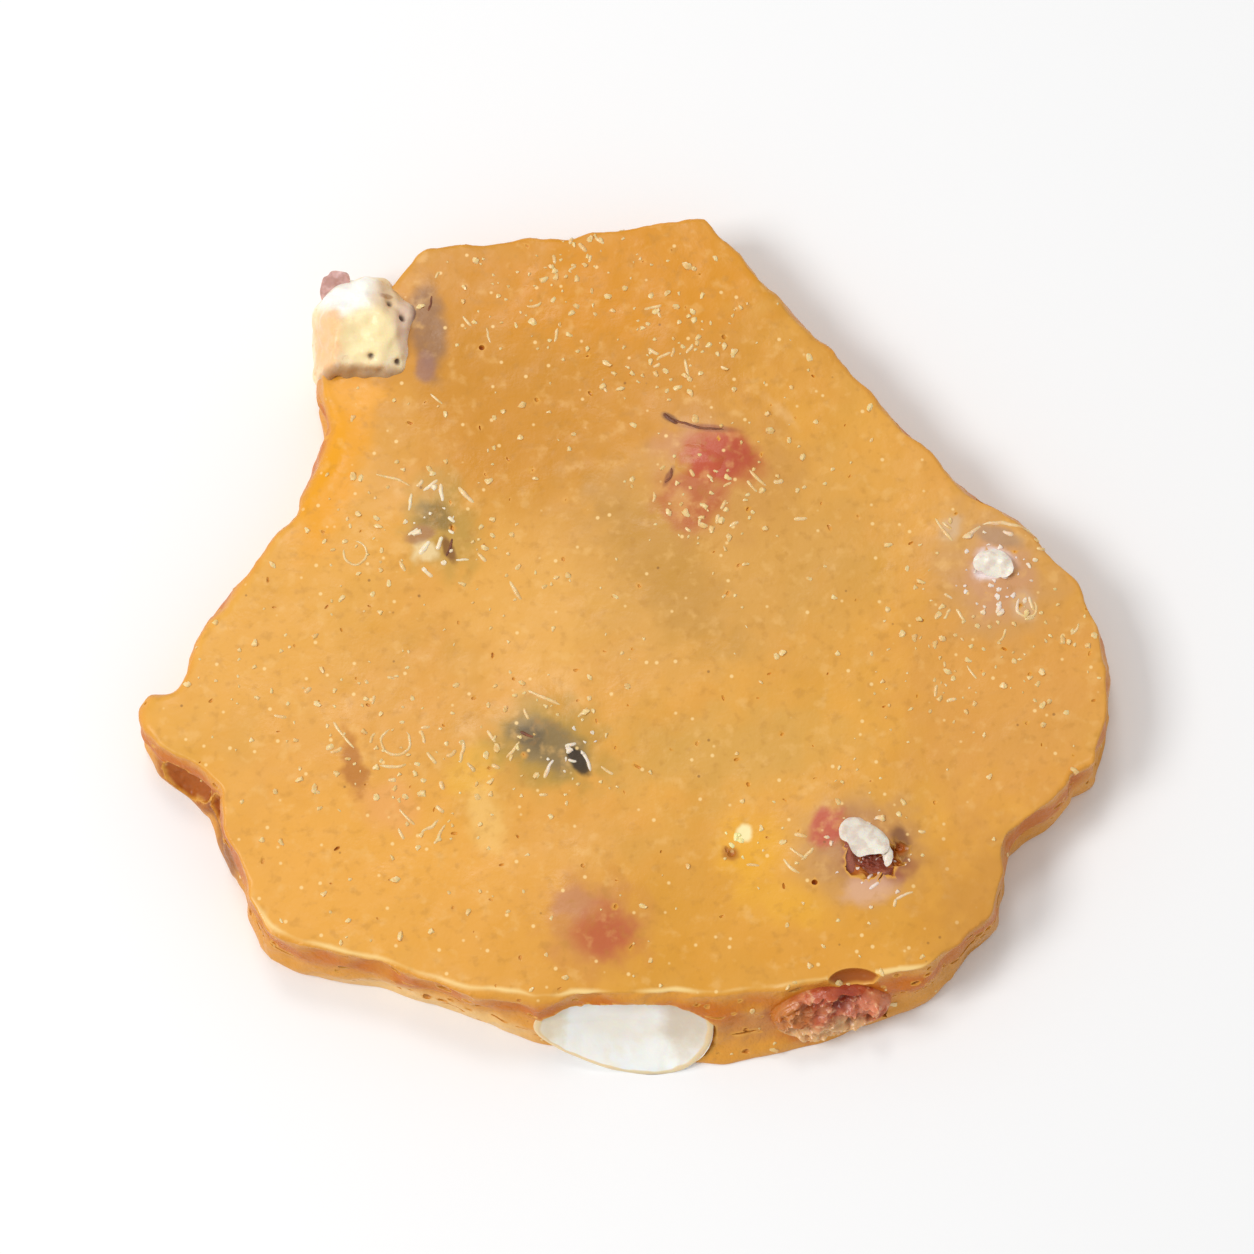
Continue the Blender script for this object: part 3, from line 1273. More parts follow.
        chance = recipe.add("FunctionNodeRandomValue", {"Seed": 30 + number}, data_type="FLOAT")
        rare = recipe.add("ShaderNodeMath", {0: chance.outputs[1], 1: 2.5}, operation="POWER")
        radius = recipe.add(
            "ShaderNodeMapRange",
            {"Value": rare, "To Min": sizes[f"Smallest {number}"], "To Max": sizes[f"Largest {number}"]},
        )
        shape = recipe.add(
            "FunctionNodeRandomValue",
            {
                0: (0.9 * kind.stretch, 0.6, 0.85 * kind.flatness),
                1: (1.7 * kind.stretch, 1.0, 1.15 * kind.flatness),
                "Seed": 50 + number,
            },
            data_type="FLOAT_VECTOR",
        )
        scale = recipe.add("ShaderNodeVectorMath", {0: shape, "Scale": radius}, operation="SCALE")
        made = recipe.add(
            "GeometryNodeInstanceOnPoints",
            {
                "Points": points.outputs["Points"],
                "Instance": lumps,
                "Pick Instance": True,
                "Rotation": points.outputs["Rotation"],
                "Scale": scale,
            },
        )
        return made.outputs[0]

    def build(self, finish: PouredCandy) -> bpy.types.Object:
        """Builds the finished slab, which stands for the CAD slab."""
        mesh = self.body_mesh()
        finish.stain_mesh(mesh, self.shift)
        piece = make_object(self.piece, mesh)
        material = finish.build(self.shift)
        self.relief(material).apply_to(piece)
        self.bubbles(material).apply_to(piece)
        hand_over(piece, Slot.CANDY, "candy_slab")
        return piece


# ----------------------------------------------------------------------------------------------
# Kernels
# ----------------------------------------------------------------------------------------------


@dataclass
class Kernel:
    """A peanut: an egg that tapers to its tip along its own +X, with its length's fine creases."""

    name: str
    node: str
    slot: Slot
    middle: Point
    half: Point
    turn: Point
    taper: float = 0.13
    lump_height: float = 0.16
    lump_length: float = 2.4
    crease_height: float = 0.05
    crease_length: float = 0.6
    fineness: int = 6

    def __post_init__(self) -> None:
        """Works out how it is turned."""
        angles = [math.radians(angle) for angle in self.turn]
        self.turning = Euler(angles).to_matrix()

    def egg(self, unit: Vector) -> Vector:
        """The whole kernel's surface where a unit sphere has this point, in its own axes."""
        slim = 1 - self.taper * unit.x
        half = self.half
        return Vector((unit.x * half.x, unit.y * half.y * slim, unit.z * half.z * slim))

    def creased(self, unit: Vector) -> Vector:
        """The egg with its lumps, and creases that run along it."""
        place = self.egg(unit)
        stretched = (place.x * 0.3, place.y, place.z)
        rise = self.lump_height * wave(place, self.lump_length, seed=self.middle.x)
        rise += self.crease_height * wave(stretched, self.crease_length, seed=self.middle.y)
        return place + rise * unit

    def surface(self, unit: Vector) -> tuple[Vector, dict[Mark, float]]:
        """Its own shape.

        Args:
            unit: A point of a unit sphere.

        Returns:
            That point of the kernel, from its middle in the layout's axes, and its marks.
        """
        return self.turning @ self.creased(unit), {}

    def build(
        self, shift: Vector, material: bpy.types.Material, glaze: PouredCandy | None = None
    ) -> bpy.types.Object:
        """Builds the kernel, which stands for its CAD node.

        Args:
            shift: From the slab's layout to the part's frame, in millimetres.
            material: Its material.
            glaze: The candy whose stains its points carry, if it lies under the face.

        Returns:
            The finished kernel.
        """
        shape = bmesh.new()
        bmesh.ops.create_icosphere(shape, subdivisions=self.fineness, radius=1.0)
        marks: dict[Mark, list[float]] = {}
        middle = shift + Vector(self.middle)
        for vertex in shape.verts:
            place, found = self.surface(vertex.co.normalized())
            vertex.co = (middle + place) * MM
            # Nothing stands lower than the slab's own underside.
            vertex.co.z = max(vertex.co.z, 0.0)
            for mark, value in found.items():
                marks.setdefault(mark, []).append(value)
        mesh = bpy.data.meshes.new(self.name)
        shape.to_mesh(mesh)
        shape.free()
        set_marks(mesh, marks)
        if glaze:
            glaze.stain_mesh(mesh, shift)
        mesh.materials.append(material)
        piece = make_object(self.name, mesh)
        hand_over(piece, self.slot, self.node)
        return piece


class Facet(NamedTuple):
    """A flat break across a kernel: the way it faces, and its distance from the middle."""

    facing: Point
    distance: float


@dataclass
class ChippedKernel(Kernel):
    """The kernel at the slab's corner, broken to blunt facets, with pits along its base."""

    facets: tuple[Facet, ...] = (
        Facet(Point(-0.28, 0.45, 0.85), 3.45),
        Facet(Point(0.05, -0.22, 0.97), 3.3),
        Facet(Point(0.45, 0.42, 0.79), 3.75),
        Facet(Point(-0.85, -0.12, 0.51), 3.75),
        Facet(Point(0.82, -0.1, 0.56), 3.8),
        Facet(Point(0.05, -0.8, 0.6), 3.95),
        Facet(Point(-0.6, 0.66, 0.45), 4.35),
        Facet(Point(0.62, 0.66, 0.42), 4.5),
        Facet(Point(-0.99, 0.0, 0.1), 4.05),
        Facet(Point(0.99, 0.05, 0.1), 4.1),
        Facet(Point(0.0, -0.99, 0.1), 4.5),
        Facet(Point(0.05, 0.99, 0.1), 4.5),
        Facet(Point(-0.7, 0.7, 0.1), 4.7),
        Facet(Point(0.7, 0.7, 0.1), 4.75),
        Facet(Point(0.7, -0.7, 0.1), 4.9),
        Facet(Point(-0.7, -0.7, 0.1), 5.0),
    )
    edge_softness: float = 0.75
    crumble_height: float = 0.2
    crumble_length: float = 0.9
    # Small dark pits: where each lies from the middle.
    pits: tuple[Point, ...] = (
        Point(0.5, -2.8, 2.9),
        Point(1.3, -3.9, 2.2),
        Point(2.2, -4.1, 1.9),
        Point(0.4, -3.9, 2.3),
        Point(2.7, -3.1, 2.3),
        Point(-0.9, -4.2, 1.9),
        Point(-3.9, -3.1, 1.2),
        Point(-3.3, -4.2, 1.0),
        Point(-2.2, -4.3, 1.5),
        Point(-4.1, 0.9, 1.6),
        Point(2.0, 1.9, 2.7),
        Point(2.9, 0.6, 2.4),
    )
    pit_radius: float = 0.34
    pit_depth: float = 0.45

    def surface(self, unit: Vector) -> tuple[Vector, dict[Mark, float]]:
        """The egg, cut back softly by its facets and dented by its pits."""
        place = self.turning @ self.creased(unit)
        for facet in self.facets:
            facing = Vector(facet.facing).normalized()
            over = place.dot(facing) - facet.distance - 0.3 * wave(place, 2.6, facet.distance)
            soft = self.edge_softness
            if over > -soft:
                cut = over if over > soft else (over + soft) ** 2 / (4 * soft)
                place -= facing * cut
        depth = 0.0
        for pit in self.pits:
            apart = (place - Vector(pit)).length_squared
            depth = max(depth, math.exp(-apart / self.pit_radius**2))
        rise = self.crumble_height * wave(place, self.crumble_length, seed=7.0)
        return place + place.normalized() * (rise - self.pit_depth * depth), {Mark.PIT: depth}


@dataclass
class HollowKernel(Kernel):
    """A kernel under the face, torn open: a pit with ragged sides in its upper side."""

    pit_middle: Point = Point(0.5, -0.5, 0.0)
    pit_half: Point = Point(2.1, 1.5, 0.0)
    pit_depth: float = 0.55
    fibre_height: float = 0.35

    def surface(self, unit: Vector) -> tuple[Vector, dict[Mark, float]]:
        """The egg with its pit, and fibres that cross the pit's floor."""
        place = self.turning @ self.creased(unit)
        across = (place.x - self.pit_middle.x) / self.pit_half.x
        along = (place.y - self.pit_middle.y) / self.pit_half.y
        reach = math.hypot(across, along) + 0.35 * wave(place, 1.1, seed=3.0)
        deep = (1 - smooth_step(0.45, 1.0, reach)) if place.z > 0 else 0.0
        fibre = noise.ridged_multi_fractal(
            Vector((place.x * 0.8, place.y * 2.2, 1.0)), 1.0, 2.0, 3, 1.0, 2.0
        )
        ridge = smooth_step(1.2, 2.0, fibre) if place.z > 0 else 0.0
        place.z -= self.pit_depth * deep
        place.z += self.fibre_height * ridge * deep
        return place, {Mark.DEEP: deep, Mark.RIDGE: 0.6 * ridge * deep}


@dataclass
class SplitKernel(Kernel):
    """Half a kernel with its inner face outwards: a raised rim round a shallow dish."""

    rim_place: float = 0.95
    dish_depth: float = 0.75
    groove_depth: float = 0.1
    rim_rise: float = 0.1

    def surface(self, unit: Vector) -> tuple[Vector, dict[Mark, float]]:
        """The egg's lower half, closed by the dished inner face."""
        if unit.z <= 0:
            return self.turning @ self.creased(unit), {Mark.RIDGE: 0.0, Mark.DEEP: 0.0}
        reach = math.hypot(unit.x, unit.y)
        ragged = self.rim_place + 0.03 * wave(self.egg(unit), 0.9, seed=5.0)
        if reach > ragged:
            share = (reach - ragged) / (1 - ragged)
            rise = self.rim_rise * math.sqrt(max(0.0, 1 - share * share))
            depth = 0.0
        else:
            share = reach / ragged
            dish = 1 - share**2
            rise = self.rim_rise - (self.dish_depth + self.rim_rise) * dish
            depth = dish
        groove = math.exp(-((unit.y / 0.09) ** 2)) * (1 - smooth_step(0.45, 0.75, reach))
        flat = self.egg(Vector((unit.x, unit.y, 0.0)))
        height = rise - self.groove_depth * groove + 0.06 * wave(flat, 1.2, seed=9.0)
        ridge = smooth_step(ragged - 0.07, ragged, reach)
        place = Vector((flat.x, flat.y, height))
        return self.turning @ place, {Mark.RIDGE: ridge, Mark.DEEP: depth}


@dataclass
class TornOpenKernel(Kernel):
    """A kernel in the wall that broke with the slab: a red bowl with a ragged, fibrous floor."""

    broken_at: float = 0.9
    lump_rise: float = 1.0
    lump_reach: float = 1.7
    fibre_height: float = 0.5

    def surface(self, unit: Vector) -> tuple[Vector, dict[Mark, float]]:
        """The egg below its break, closed by lumps and fibres."""
        place = self.creased(unit)
        flat = Vector((place.x, place.y, 0.0))
        level = self.broken_at + 0.3 * wave(flat, 1.5, seed=2.0)
        if place.z <= level:
            return self.turning @ place, {Mark.RIDGE: 0.0, Mark.DEEP: 0.0}
        share = min(1.0, (place.z - level) / (self.half.z - level))
        lumps = wave(flat, self.lump_reach, seed=4.0) + 0.5 * wave(flat, self.lump_reach / 3, seed=6.0)
        fibre = noise.ridged_multi_fractal(Vector((flat.x * 0.6, flat.y * 1.1, 4.0)), 1.0, 2.0, 3, 1.0, 2.0)
        ridge = smooth_step(1.1, 1.9, fibre)
        inside = smooth_step(0.0, 0.3, share)
        place.z = level + inside * (self.lump_rise * lumps + self.fibre_height * ridge)
        deep = 1 - smooth_step(-0.45, 0.05, lumps)
        return self.turning @ place, {Mark.RIDGE: ridge * inside, Mark.DEEP: deep * inside}


# ----------------------------------------------------------------------------------------------
# What lies on the slab
# ----------------------------------------------------------------------------------------------


class Flake(NamedTuple):
    """A thin curled scrap: where its middle lies, its size, and how it curls and turns."""

    middle: Point
    length: float
    width: float
    curl: float
    turn: Point


@dataclass
class Flakes:
    """Thin scraps of one kind, such as torn skin, that stand up from the glaze."""

    name: str
    slot: Slot
    flakes: tuple[Flake, ...]
    thickness: float = 0.14
    steps_along: int = 22
    steps_across: int = 10

    def build(self, shift: Vector, material: bpy.types.Material) -> bpy.types.Object:
        """Builds the scraps as one piece."""
        shape = bmesh.new()
        for flake in self.flakes:
            self.add_flake(shape, flake, shift)
        mesh = bpy.data.meshes.new(self.name)
        shape.to_mesh(mesh)
        shape.free()
        mesh.materials.append(material)
        piece = make_object(self.name, mesh)
        shell = piece.modifiers.new("shell", "SOLIDIFY")
        shell.thickness = self.thickness * MM
        shell.offset = 0.0
        make_plain(piece)
        hand_over(piece, self.slot)
        return piece

    def add_flake(self, shape: bmesh.types.BMesh, flake: Flake, shift: Vector) -> None:
        """Adds one scrap as a curled sheet with a ragged outline."""
        turning = Euler([math.radians(angle) for angle in flake.turn]).to_matrix()
        radius = flake.width / math.radians(flake.curl)
        grid = []
        for step in range(self.steps_along + 1):
            along = 2 * step / self.steps_along - 1
            lens = math.sqrt(max(0.02, 1 - along * along))
            lens *= 1 + 0.3 * wave((along * 3, flake.middle.x, flake.middle.y), 1.0)
            row = []
            for cross in range(self.steps_across + 1):
                across = (2 * cross / self.steps_across - 1) * lens
                angle = across * math.radians(flake.curl) / 2
                bend = 0.12 * flake.length * along * along
                place = Vector(
                    (
                        along * flake.length / 2,
                        radius * math.sin(angle) - bend,
                        radius * (math.cos(angle) - 1),
                    )
                )
                place.z += 0.09 * wave(place, 0.6, seed=flake.middle.x)
                row.append(shape.verts.new((shift + Vector(flake.middle) + turning @ place) * MM))
            grid.append(row)
        for near, far in zip(grid, grid[1:]):
            for cross in range(self.steps_across):
                shape.faces.new((near[cross], far[cross], far[cross + 1], near[cross + 1]))


class Cluster(NamedTuple):
    """A place round which the glaze is busy with specks and burst bubbles."""

    x: float
    y: float
    radius: float
    crowd: float


class Stroke(NamedTuple):
    """A sliver of crystal in the glaze: its middle, its length, turn and width, and its bend."""

    x: float
    y: float
    length: float
    turn: float
    width: float = 0.42
    bend: float = 14.0


@dataclass
class GlazeScatter:
    """What lies in the glaze: specks of dry sugar, slivers of crystal, threads of skin."""

    clusters: tuple[Cluster, ...] = (
        Cluster(4.5, 19.0, 5.0, 0.9),
        Cluster(-3.0, 26.5, 4.5, 0.8),
        Cluster(-6.5, 22.5, 4.5, 0.4),
        Cluster(-10.0, 13.0, 4.5, 0.35),
        Cluster(6.8, 7.5, 5.0, 0.6),
        Cluster(12.5, 12.5, 3.5, 0.45),
        Cluster(28.4, -1.5, 5.5, 1.0),
        Cluster(23.5, -7.5, 4.5, 0.5),
        Cluster(17.8, -20.8, 4.8, 0.7),
        Cluster(8.9, -20.4, 2.6, 0.6),
        Cluster(-5.8, -12.4, 4.6, 0.6),
        Cluster(-14.0, 4.9, 4.8, 0.6),
        Cluster(-20.5, 3.0, 4.5, 0.45),
        Cluster(-19.5, -12.0, 5.5, 0.7),
        Cluster(-13.0, -17.5, 4.5, 0.6),
        Cluster(-29.0, -9.0, 4.0, 0.4),
        Cluster(-9.0, -1.5, 5.5, 0.35),
        Cluster(33.0, -8.0, 3.5, 0.4),
        Cluster(14.0, -33.5, 4.5, 0.7),
    )
    background: float = 0.14
    # Height above which the walls get any, and how deep the domes of kernels get them.
    foot: float = 0.5
    dome: float = 0.12
    speck_shapes: int = 6
    # How crowded the walls are, against the face.
    wall_share: float = 0.3
    strokes: tuple[Stroke, ...] = (
        # Round the red kernel.
        Stroke(5.3, 8.95, 0.8, -60), Stroke(6.7, 8.6, 0.8, -40), Stroke(8.1, 7.9, 0.9, 40),
        Stroke(10.4, 8.5, 2.1, -44), Stroke(10.0, 7.8, 1.4, -49), Stroke(12.0, 8.3, 0.9, 20, 0.62),
        Stroke(7.8, 6.3, 1.0, 65), Stroke(7.3, 5.2, 0.9, 80, 0.53), Stroke(6.0, 5.0, 1.0, 85),
        Stroke(5.0, 4.4, 0.8, -40), Stroke(8.55, 4.8, 1.0, 20), Stroke(2.4, 7.0, 1.0, 85),
        Stroke(13.7, 5.3, 1.2, 10, 0.5),
        # By the kernel at the right edge.
        Stroke(24.6, 4.5, 2.6, -55), Stroke(24.9, 4.8, 1.4, -40), Stroke(26.9, 4.3, 1.7, 38, 0.5),
        Stroke(29.4, 4.8, 4.4, -10, 0.5, -40), Stroke(30.8, -1.9, 3.8, 0, 0.4, 290),
        Stroke(29.6, 4.1, 1.2, -20, 0.56), Stroke(32.0, 2.9, 0.8, -10), Stroke(28.7, -1.8, 1.3, 75, 0.53),
        Stroke(31.2, -1.5, 1.3, -75), Stroke(31.0, -2.6, 0.9, 20), Stroke(25.8, -2.4, 1.5, -55),
        Stroke(24.9, -0.9, 0.8, -30), Stroke(24.8, -2.3, 1.1, 50), Stroke(28.9, -4.1, 1.6, 60, 0.33),
        Stroke(34.5, -3.5, 1.4, 60, 0.38, 80), Stroke(23.8, -8.3, 1.2, 80), Stroke(25.0, -9.1, 0.9, 30),
        Stroke(26.5, -6.8, 1.5, -55, 0.3),
        # Round the torn kernel and the burst bubble beside it.
        Stroke(13.4, -19.75, 1.2, -10), Stroke(13.1, -21.1, 1.5, -35), Stroke(13.9, -21.2, 1.5, 42),
        Stroke(12.7, -22.2, 1.9, -40, 0.4, 60), Stroke(17.7, -21.5, 1.0, -45),
        Stroke(19.4, -22.3, 1.1, 65), Stroke(18.6, -23.0, 0.8, 60), Stroke(18.9, -23.6, 1.4, 40, 0.5),
        Stroke(21.1, -24.4, 1.7, 25, 0.38), Stroke(20.4, -25.0, 0.8, 85), Stroke(22.5, -19.4, 0.8, -10),
        Stroke(8.6, -19.9, 0.8, 75, 0.62), Stroke(9.8, -22.0, 1.2, 0, 0.38),
        # Round the dark skin left of the middle.
        Stroke(-6.0, -8.9, 3.2, -25, 0.45), Stroke(-7.3, -10.2, 1.2, -68), Stroke(-8.2, -13.1, 1.9, 57),
        Stroke(-9.5, -14.4, 0.8, -20, 0.56), Stroke(-5.6, -14.5, 1.9, 69, 0.47),
        Stroke(-3.9, -12.7, 1.1, 20, 0.43), Stroke(-2.7, -13.9, 2.3, -65, 0.43, -40),
        Stroke(-3.8, -13.9, 0.9, -15, 0.33), Stroke(-9.9, -12.0, 1.4, -55),
        Stroke(-1.1, -14.7, 1.2, -30, 0.38), Stroke(-3.0, -10.1, 1.3, 45, 0.33),
        Stroke(-5.9, -16.6, 0.8, 5), Stroke(-11.3, -14.5, 0.8, -55, 0.5),
        # Round the buried kernel above it.
        Stroke(-12.0, 7.2, 1.9, -46, 0.55), Stroke(-14.7, 7.9, 1.7, 40),
        Stroke(-13.9, 7.4, 1.8, -80, 0.5), Stroke(-15.6, 8.2, 0.9, 35, 0.5),
        Stroke(-17.6, 8.5, 3.0, -20, 0.33, -30), Stroke(-16.25, 6.6, 1.8, 88, 0.38),
        Stroke(-16.0, 4.2, 1.2, 35), Stroke(-14.0, 3.3, 1.3, 70, 0.58), Stroke(-15.1, 2.9, 1.6, 60, 0.7),
        Stroke(-14.9, 1.0, 1.3, -40, 0.55), Stroke(-13.1, 5.2, 0.8, -40), Stroke(-13.1, 4.2, 0.8, -30),
        Stroke(-12.2, 2.0, 1.4, 0, 0.38), Stroke(-10.7, 2.2, 1.1, -45),
        Stroke(-8.2, -0.3, 1.9, -60, 0.53), Stroke(-16.8, 1.5, 1.1, -60),
        # The busy patch low on the left.
        Stroke(-17.1, -12.5, 6.2, 0, 0.38, 325), Stroke(-20.4, 2.5, 5.0, 40, 0.33, 320),
        Stroke(-17.3, -14.3, 2.5, 0), Stroke(-17.4, -15.4, 0.8, 0, 0.62),
        Stroke(-21.1, -11.9, 3.0, -52, 0.38), Stroke(-18.9, -12.1, 1.2, 75, 0.47),
        Stroke(-21.6, -13.1, 1.1, 35, 0.5), Stroke(-15.0, -12.1, 1.3, -75),
        Stroke(-14.4, -13.7, 1.4, -50, 0.47), Stroke(-14.9, -11.3, 0.8, 15),
        Stroke(-12.1, -13.2, 2.1, 80, 0.47), Stroke(-12.9, -13.3, 1.1, 30, 0.53),
        Stroke(-11.4, -14.4, 1.1, -50), Stroke(-13.6, -15.8, 0.9, -70, 0.58),
        Stroke(-13.7, -17.7, 0.9, -40, 0.58), Stroke(-14.4, -19.0, 1.9, 38),
        Stroke(-13.7, -19.6, 2.0, 62), Stroke(-16.2, -18.3, 1.8, -45, 0.35),
        Stroke(-23.9, -8.3, 0.8, 60, 0.62), Stroke(-25.9, -10.4, 1.2, -8, 0.47),
        Stroke(-18.9, -9.1, 0.9, 80), Stroke(-17.5, -7.4, 0.8, -10), Stroke(-23.1, -16.3, 0.8, -10),
        Stroke(-16.6, -19.6, 1.2, -62, 0.45),
        # Near the upper edge.
        Stroke(-3.9, 28.3, 1.2, 60, 0.5), Stroke(-3.1, 27.6, 1.1, -50, 0.5),
        Stroke(-1.8, 28.2, 1.2, -35, 0.5), Stroke(-2.5, 26.6, 0.8, 80),
        Stroke(-5.3, 26.6, 1.1, -70, 0.53), Stroke(-3.9, 25.9, 0.8, 40),
        Stroke(-6.8, 22.8, 1.5, 30, 0.35, 110), Stroke(2.4, 22.6, 1.6, 20), Stroke(2.9, 22.0, 0.9, -60),
        Stroke(-5.1, 20.3, 1.4, 80, 0.38), Stroke(-12.1, 21.5, 1.3, -50, 0.35),
        Stroke(-10.4, 20.3, 1.6, -75, 0.35), Stroke(-14.4, 15.1, 1.5, -40, 0.35),
        Stroke(-14.4, 25.3, 0.8, 70), Stroke(2.4, 19.0, 1.3, -30), Stroke(3.2, 18.6, 1.5, 35),
        Stroke(3.9, 18.9, 1.0, 80), Stroke(5.2, 19.2, 1.1, 60), Stroke(5.0, 17.6, 1.8, -80),
        Stroke(2.6, 17.9, 0.8, 20), Stroke(-1.3, 15.9, 0.8, -60),
    )
    # Threads of dark skin that the glaze has caught.
    skin_strokes: tuple[Stroke, ...] = (
        Stroke(5.5, 12.9, 5.2, -14, 0.34, 34), Stroke(3.7, 13.4, 1.6, -38, 0.5, 20),
        Stroke(3.6, 8.7, 1.6, 70, 0.3, 40), Stroke(-13.2, 2.9, 1.7, 70, 0.34),
        Stroke(-7.2, -11.9, 1.5, -25, 0.4), Stroke(-14.9, 22.9, 1.6, 80, 0.28),
    )

    def ground(
        self, slab: Slab, candy: bpy.types.Object, kernels: Iterable[bpy.types.Object]
    ) -> bpy.types.Mesh:
        """What the scatter lies on: the slab above its foot, and the kernels in its face.

        Args:
            slab: The slab's sizes.
            candy: The finished slab.
            kernels: The finished kernels in its face.

        Returns:
            One open mesh, marked with how crowded the scatter is.
        """
        joined = bmesh.new()
        joined.from_mesh(candy.data)
        for kernel in kernels:
            joined.from_mesh(kernel.data)
        joined.verts.index_update()
        buried = []
        for vertex in joined.verts:
            place = vertex.co / MM - slab.shift
            in_slab = vertex.index < len(candy.data.vertices)
            least = self.foot if in_slab else slab.face_height(place.x, place.y) - self.dome
            if place.z < least:
                buried.append(vertex)
        bmesh.ops.delete(joined, geom=buried, context="VERTS")
        mesh = bpy.data.meshes.new("ground")
        joined.to_mesh(mesh)
        joined.free()
        crowds = []
        for vertex in mesh.vertices:
            place = vertex.co / MM - slab.shift
            crowd = self.background
            for cluster in self.clusters:
                apart = (place.x - cluster.x) ** 2 + (place.y - cluster.y) ** 2
                crowd += cluster.crowd * math.exp(-apart / cluster.radius**2)
            crowds.append(min(1.0, crowd) * max(vertex.normal.z, self.wall_share))
        set_marks(mesh, {Mark.CROWD: crowds})
        return mesh

    def scatter(self, recipe: Recipe, density: float, seed: int, power: float) -> bpy.types.Node:
        """Adds points over the ground, more where it is crowded.

        Args:
            recipe: The tree that gets them.
            density: The most points for each square millimetre.
            seed: The seed of their places.
            power: How strongly they keep to the crowded places.

        Returns:
            The node with the points and their rotations.
        """
        crowd = recipe.add("GeometryNodeInputNamedAttribute", {"Name": Mark.CROWD.value})
        share = recipe.add("ShaderNodeMath", {0: crowd, 1: power}, operation="POWER")
        return recipe.add(
            "GeometryNodeDistributePointsOnFaces",
            {
                "Mesh": recipe.inputs["Geometry"],
                "Distance Min": recipe.inputs["Spacing"],
                "Density Max": density / MM**2,
                "Density Factor": share,
                "Seed": seed,
            },
            distribute_method="POISSON",
        )

    def specks(self, material: bpy.types.Material) -> Recipe:
        """Specks of dry sugar, half sunk in the glaze."""
        recipe = Recipe("sugar_specks", {"Spacing": 0.4 * MM, "Smallest": 0.09 * MM, "Largest": 0.3 * MM})
        points = self.scatter(recipe, 1.0, 11, 1.25)
        chance = recipe.add("FunctionNodeRandomValue", {"Seed": 12}, data_type="FLOAT")
        rare = recipe.add("ShaderNodeMath", {0: chance.outputs[1], 1: 1.6}, operation="POWER")
        radius = recipe.add(
            "ShaderNodeMapRange",
            {"Value": rare, "To Min": recipe.inputs["Smallest"], "To Max": recipe.inputs["Largest"]},
        )
        shape = recipe.add(
            "FunctionNodeRandomValue",
            {0: (0.7, 0.6, 0.4), 1: (1.5, 1.0, 0.7), "Seed": 13},
            data_type="FLOAT_VECTOR",
        )
        scale = recipe.add("ShaderNodeVectorMath", {0: shape, "Scale": radius}, operation="SCALE")
        made = recipe.add(
            "GeometryNodeInstanceOnPoints",
            {
                "Points": points.outputs["Points"],
                "Instance": recipe.lumps(self.speck_shapes, 2, 1.1),
                "Pick Instance": True,
                "Rotation": self.spin(recipe, points, 14),
                "Scale": scale,
            },
        )
        recipe.finish(made.outputs[0], material)
        return recipe

    def spin(self, recipe: Recipe, points: bpy.types.Node, seed: int) -> bpy.types.NodeSocket:
        """Each point's rotation, with a random turn about the surface's own normal."""
        turn = recipe.add(
            "FunctionNodeRandomValue",
            {0: (0, 0, 0), 1: (0, 0, math.tau), "Seed": seed},
            data_type="FLOAT_VECTOR",
        )
        angles = recipe.add("FunctionNodeEulerToRotation", {0: turn})
        turned = recipe.add(
            "FunctionNodeRotateRotation",
            {0: points.outputs["Rotation"], 1: angles},
            rotation_space="LOCAL",
        )
        return turned.outputs[0]

    def stroke_path(self, stroke: Stroke) -> list[Vector]:
        """Points along a stroke, evenly bent, seen from above."""
        steps = max(6, round(stroke.length / 0.22))
        bend = math.radians(stroke.bend)
        heading = math.radians(stroke.turn) - bend / 2
        points = [Vector((0.0, 0.0))]
        for _ in range(steps):
            along = Vector((math.cos(heading), math.sin(heading)))
            points.append(points[-1] + along * stroke.length / steps)
            heading += bend / steps
        middle = sum(points, Vector((0.0, 0.0))) / len(points)
        wobbled = []
        for point in points:
            place = Vector((stroke.x, stroke.y)) + point - middle
            off = 0.16 * wave((place.x, place.y, 0.0), 0.7, seed=12.0)
            wobbled.append(place + Vector((off, -off)))
        return wobbled

    def slivers(
        self,
        name: str,
        strokes: Iterable[Stroke],
        slab: Slab,
        ground: bpy.types.Mesh,
        material: bpy.types.Material,
    ) -> bpy.types.Object:
        """Builds strokes as tapered tubes that lie along the ground.

        Args:
            name: The piece's name.
            strokes: The strokes.
            slab: The slab's sizes.
            ground: What they lie on.
            material: Their material.

        Returns:
            One piece of closed tubes.
        """
        curve = bpy.data.curves.new(name, "CURVE")
        curve.dimensions = "3D"
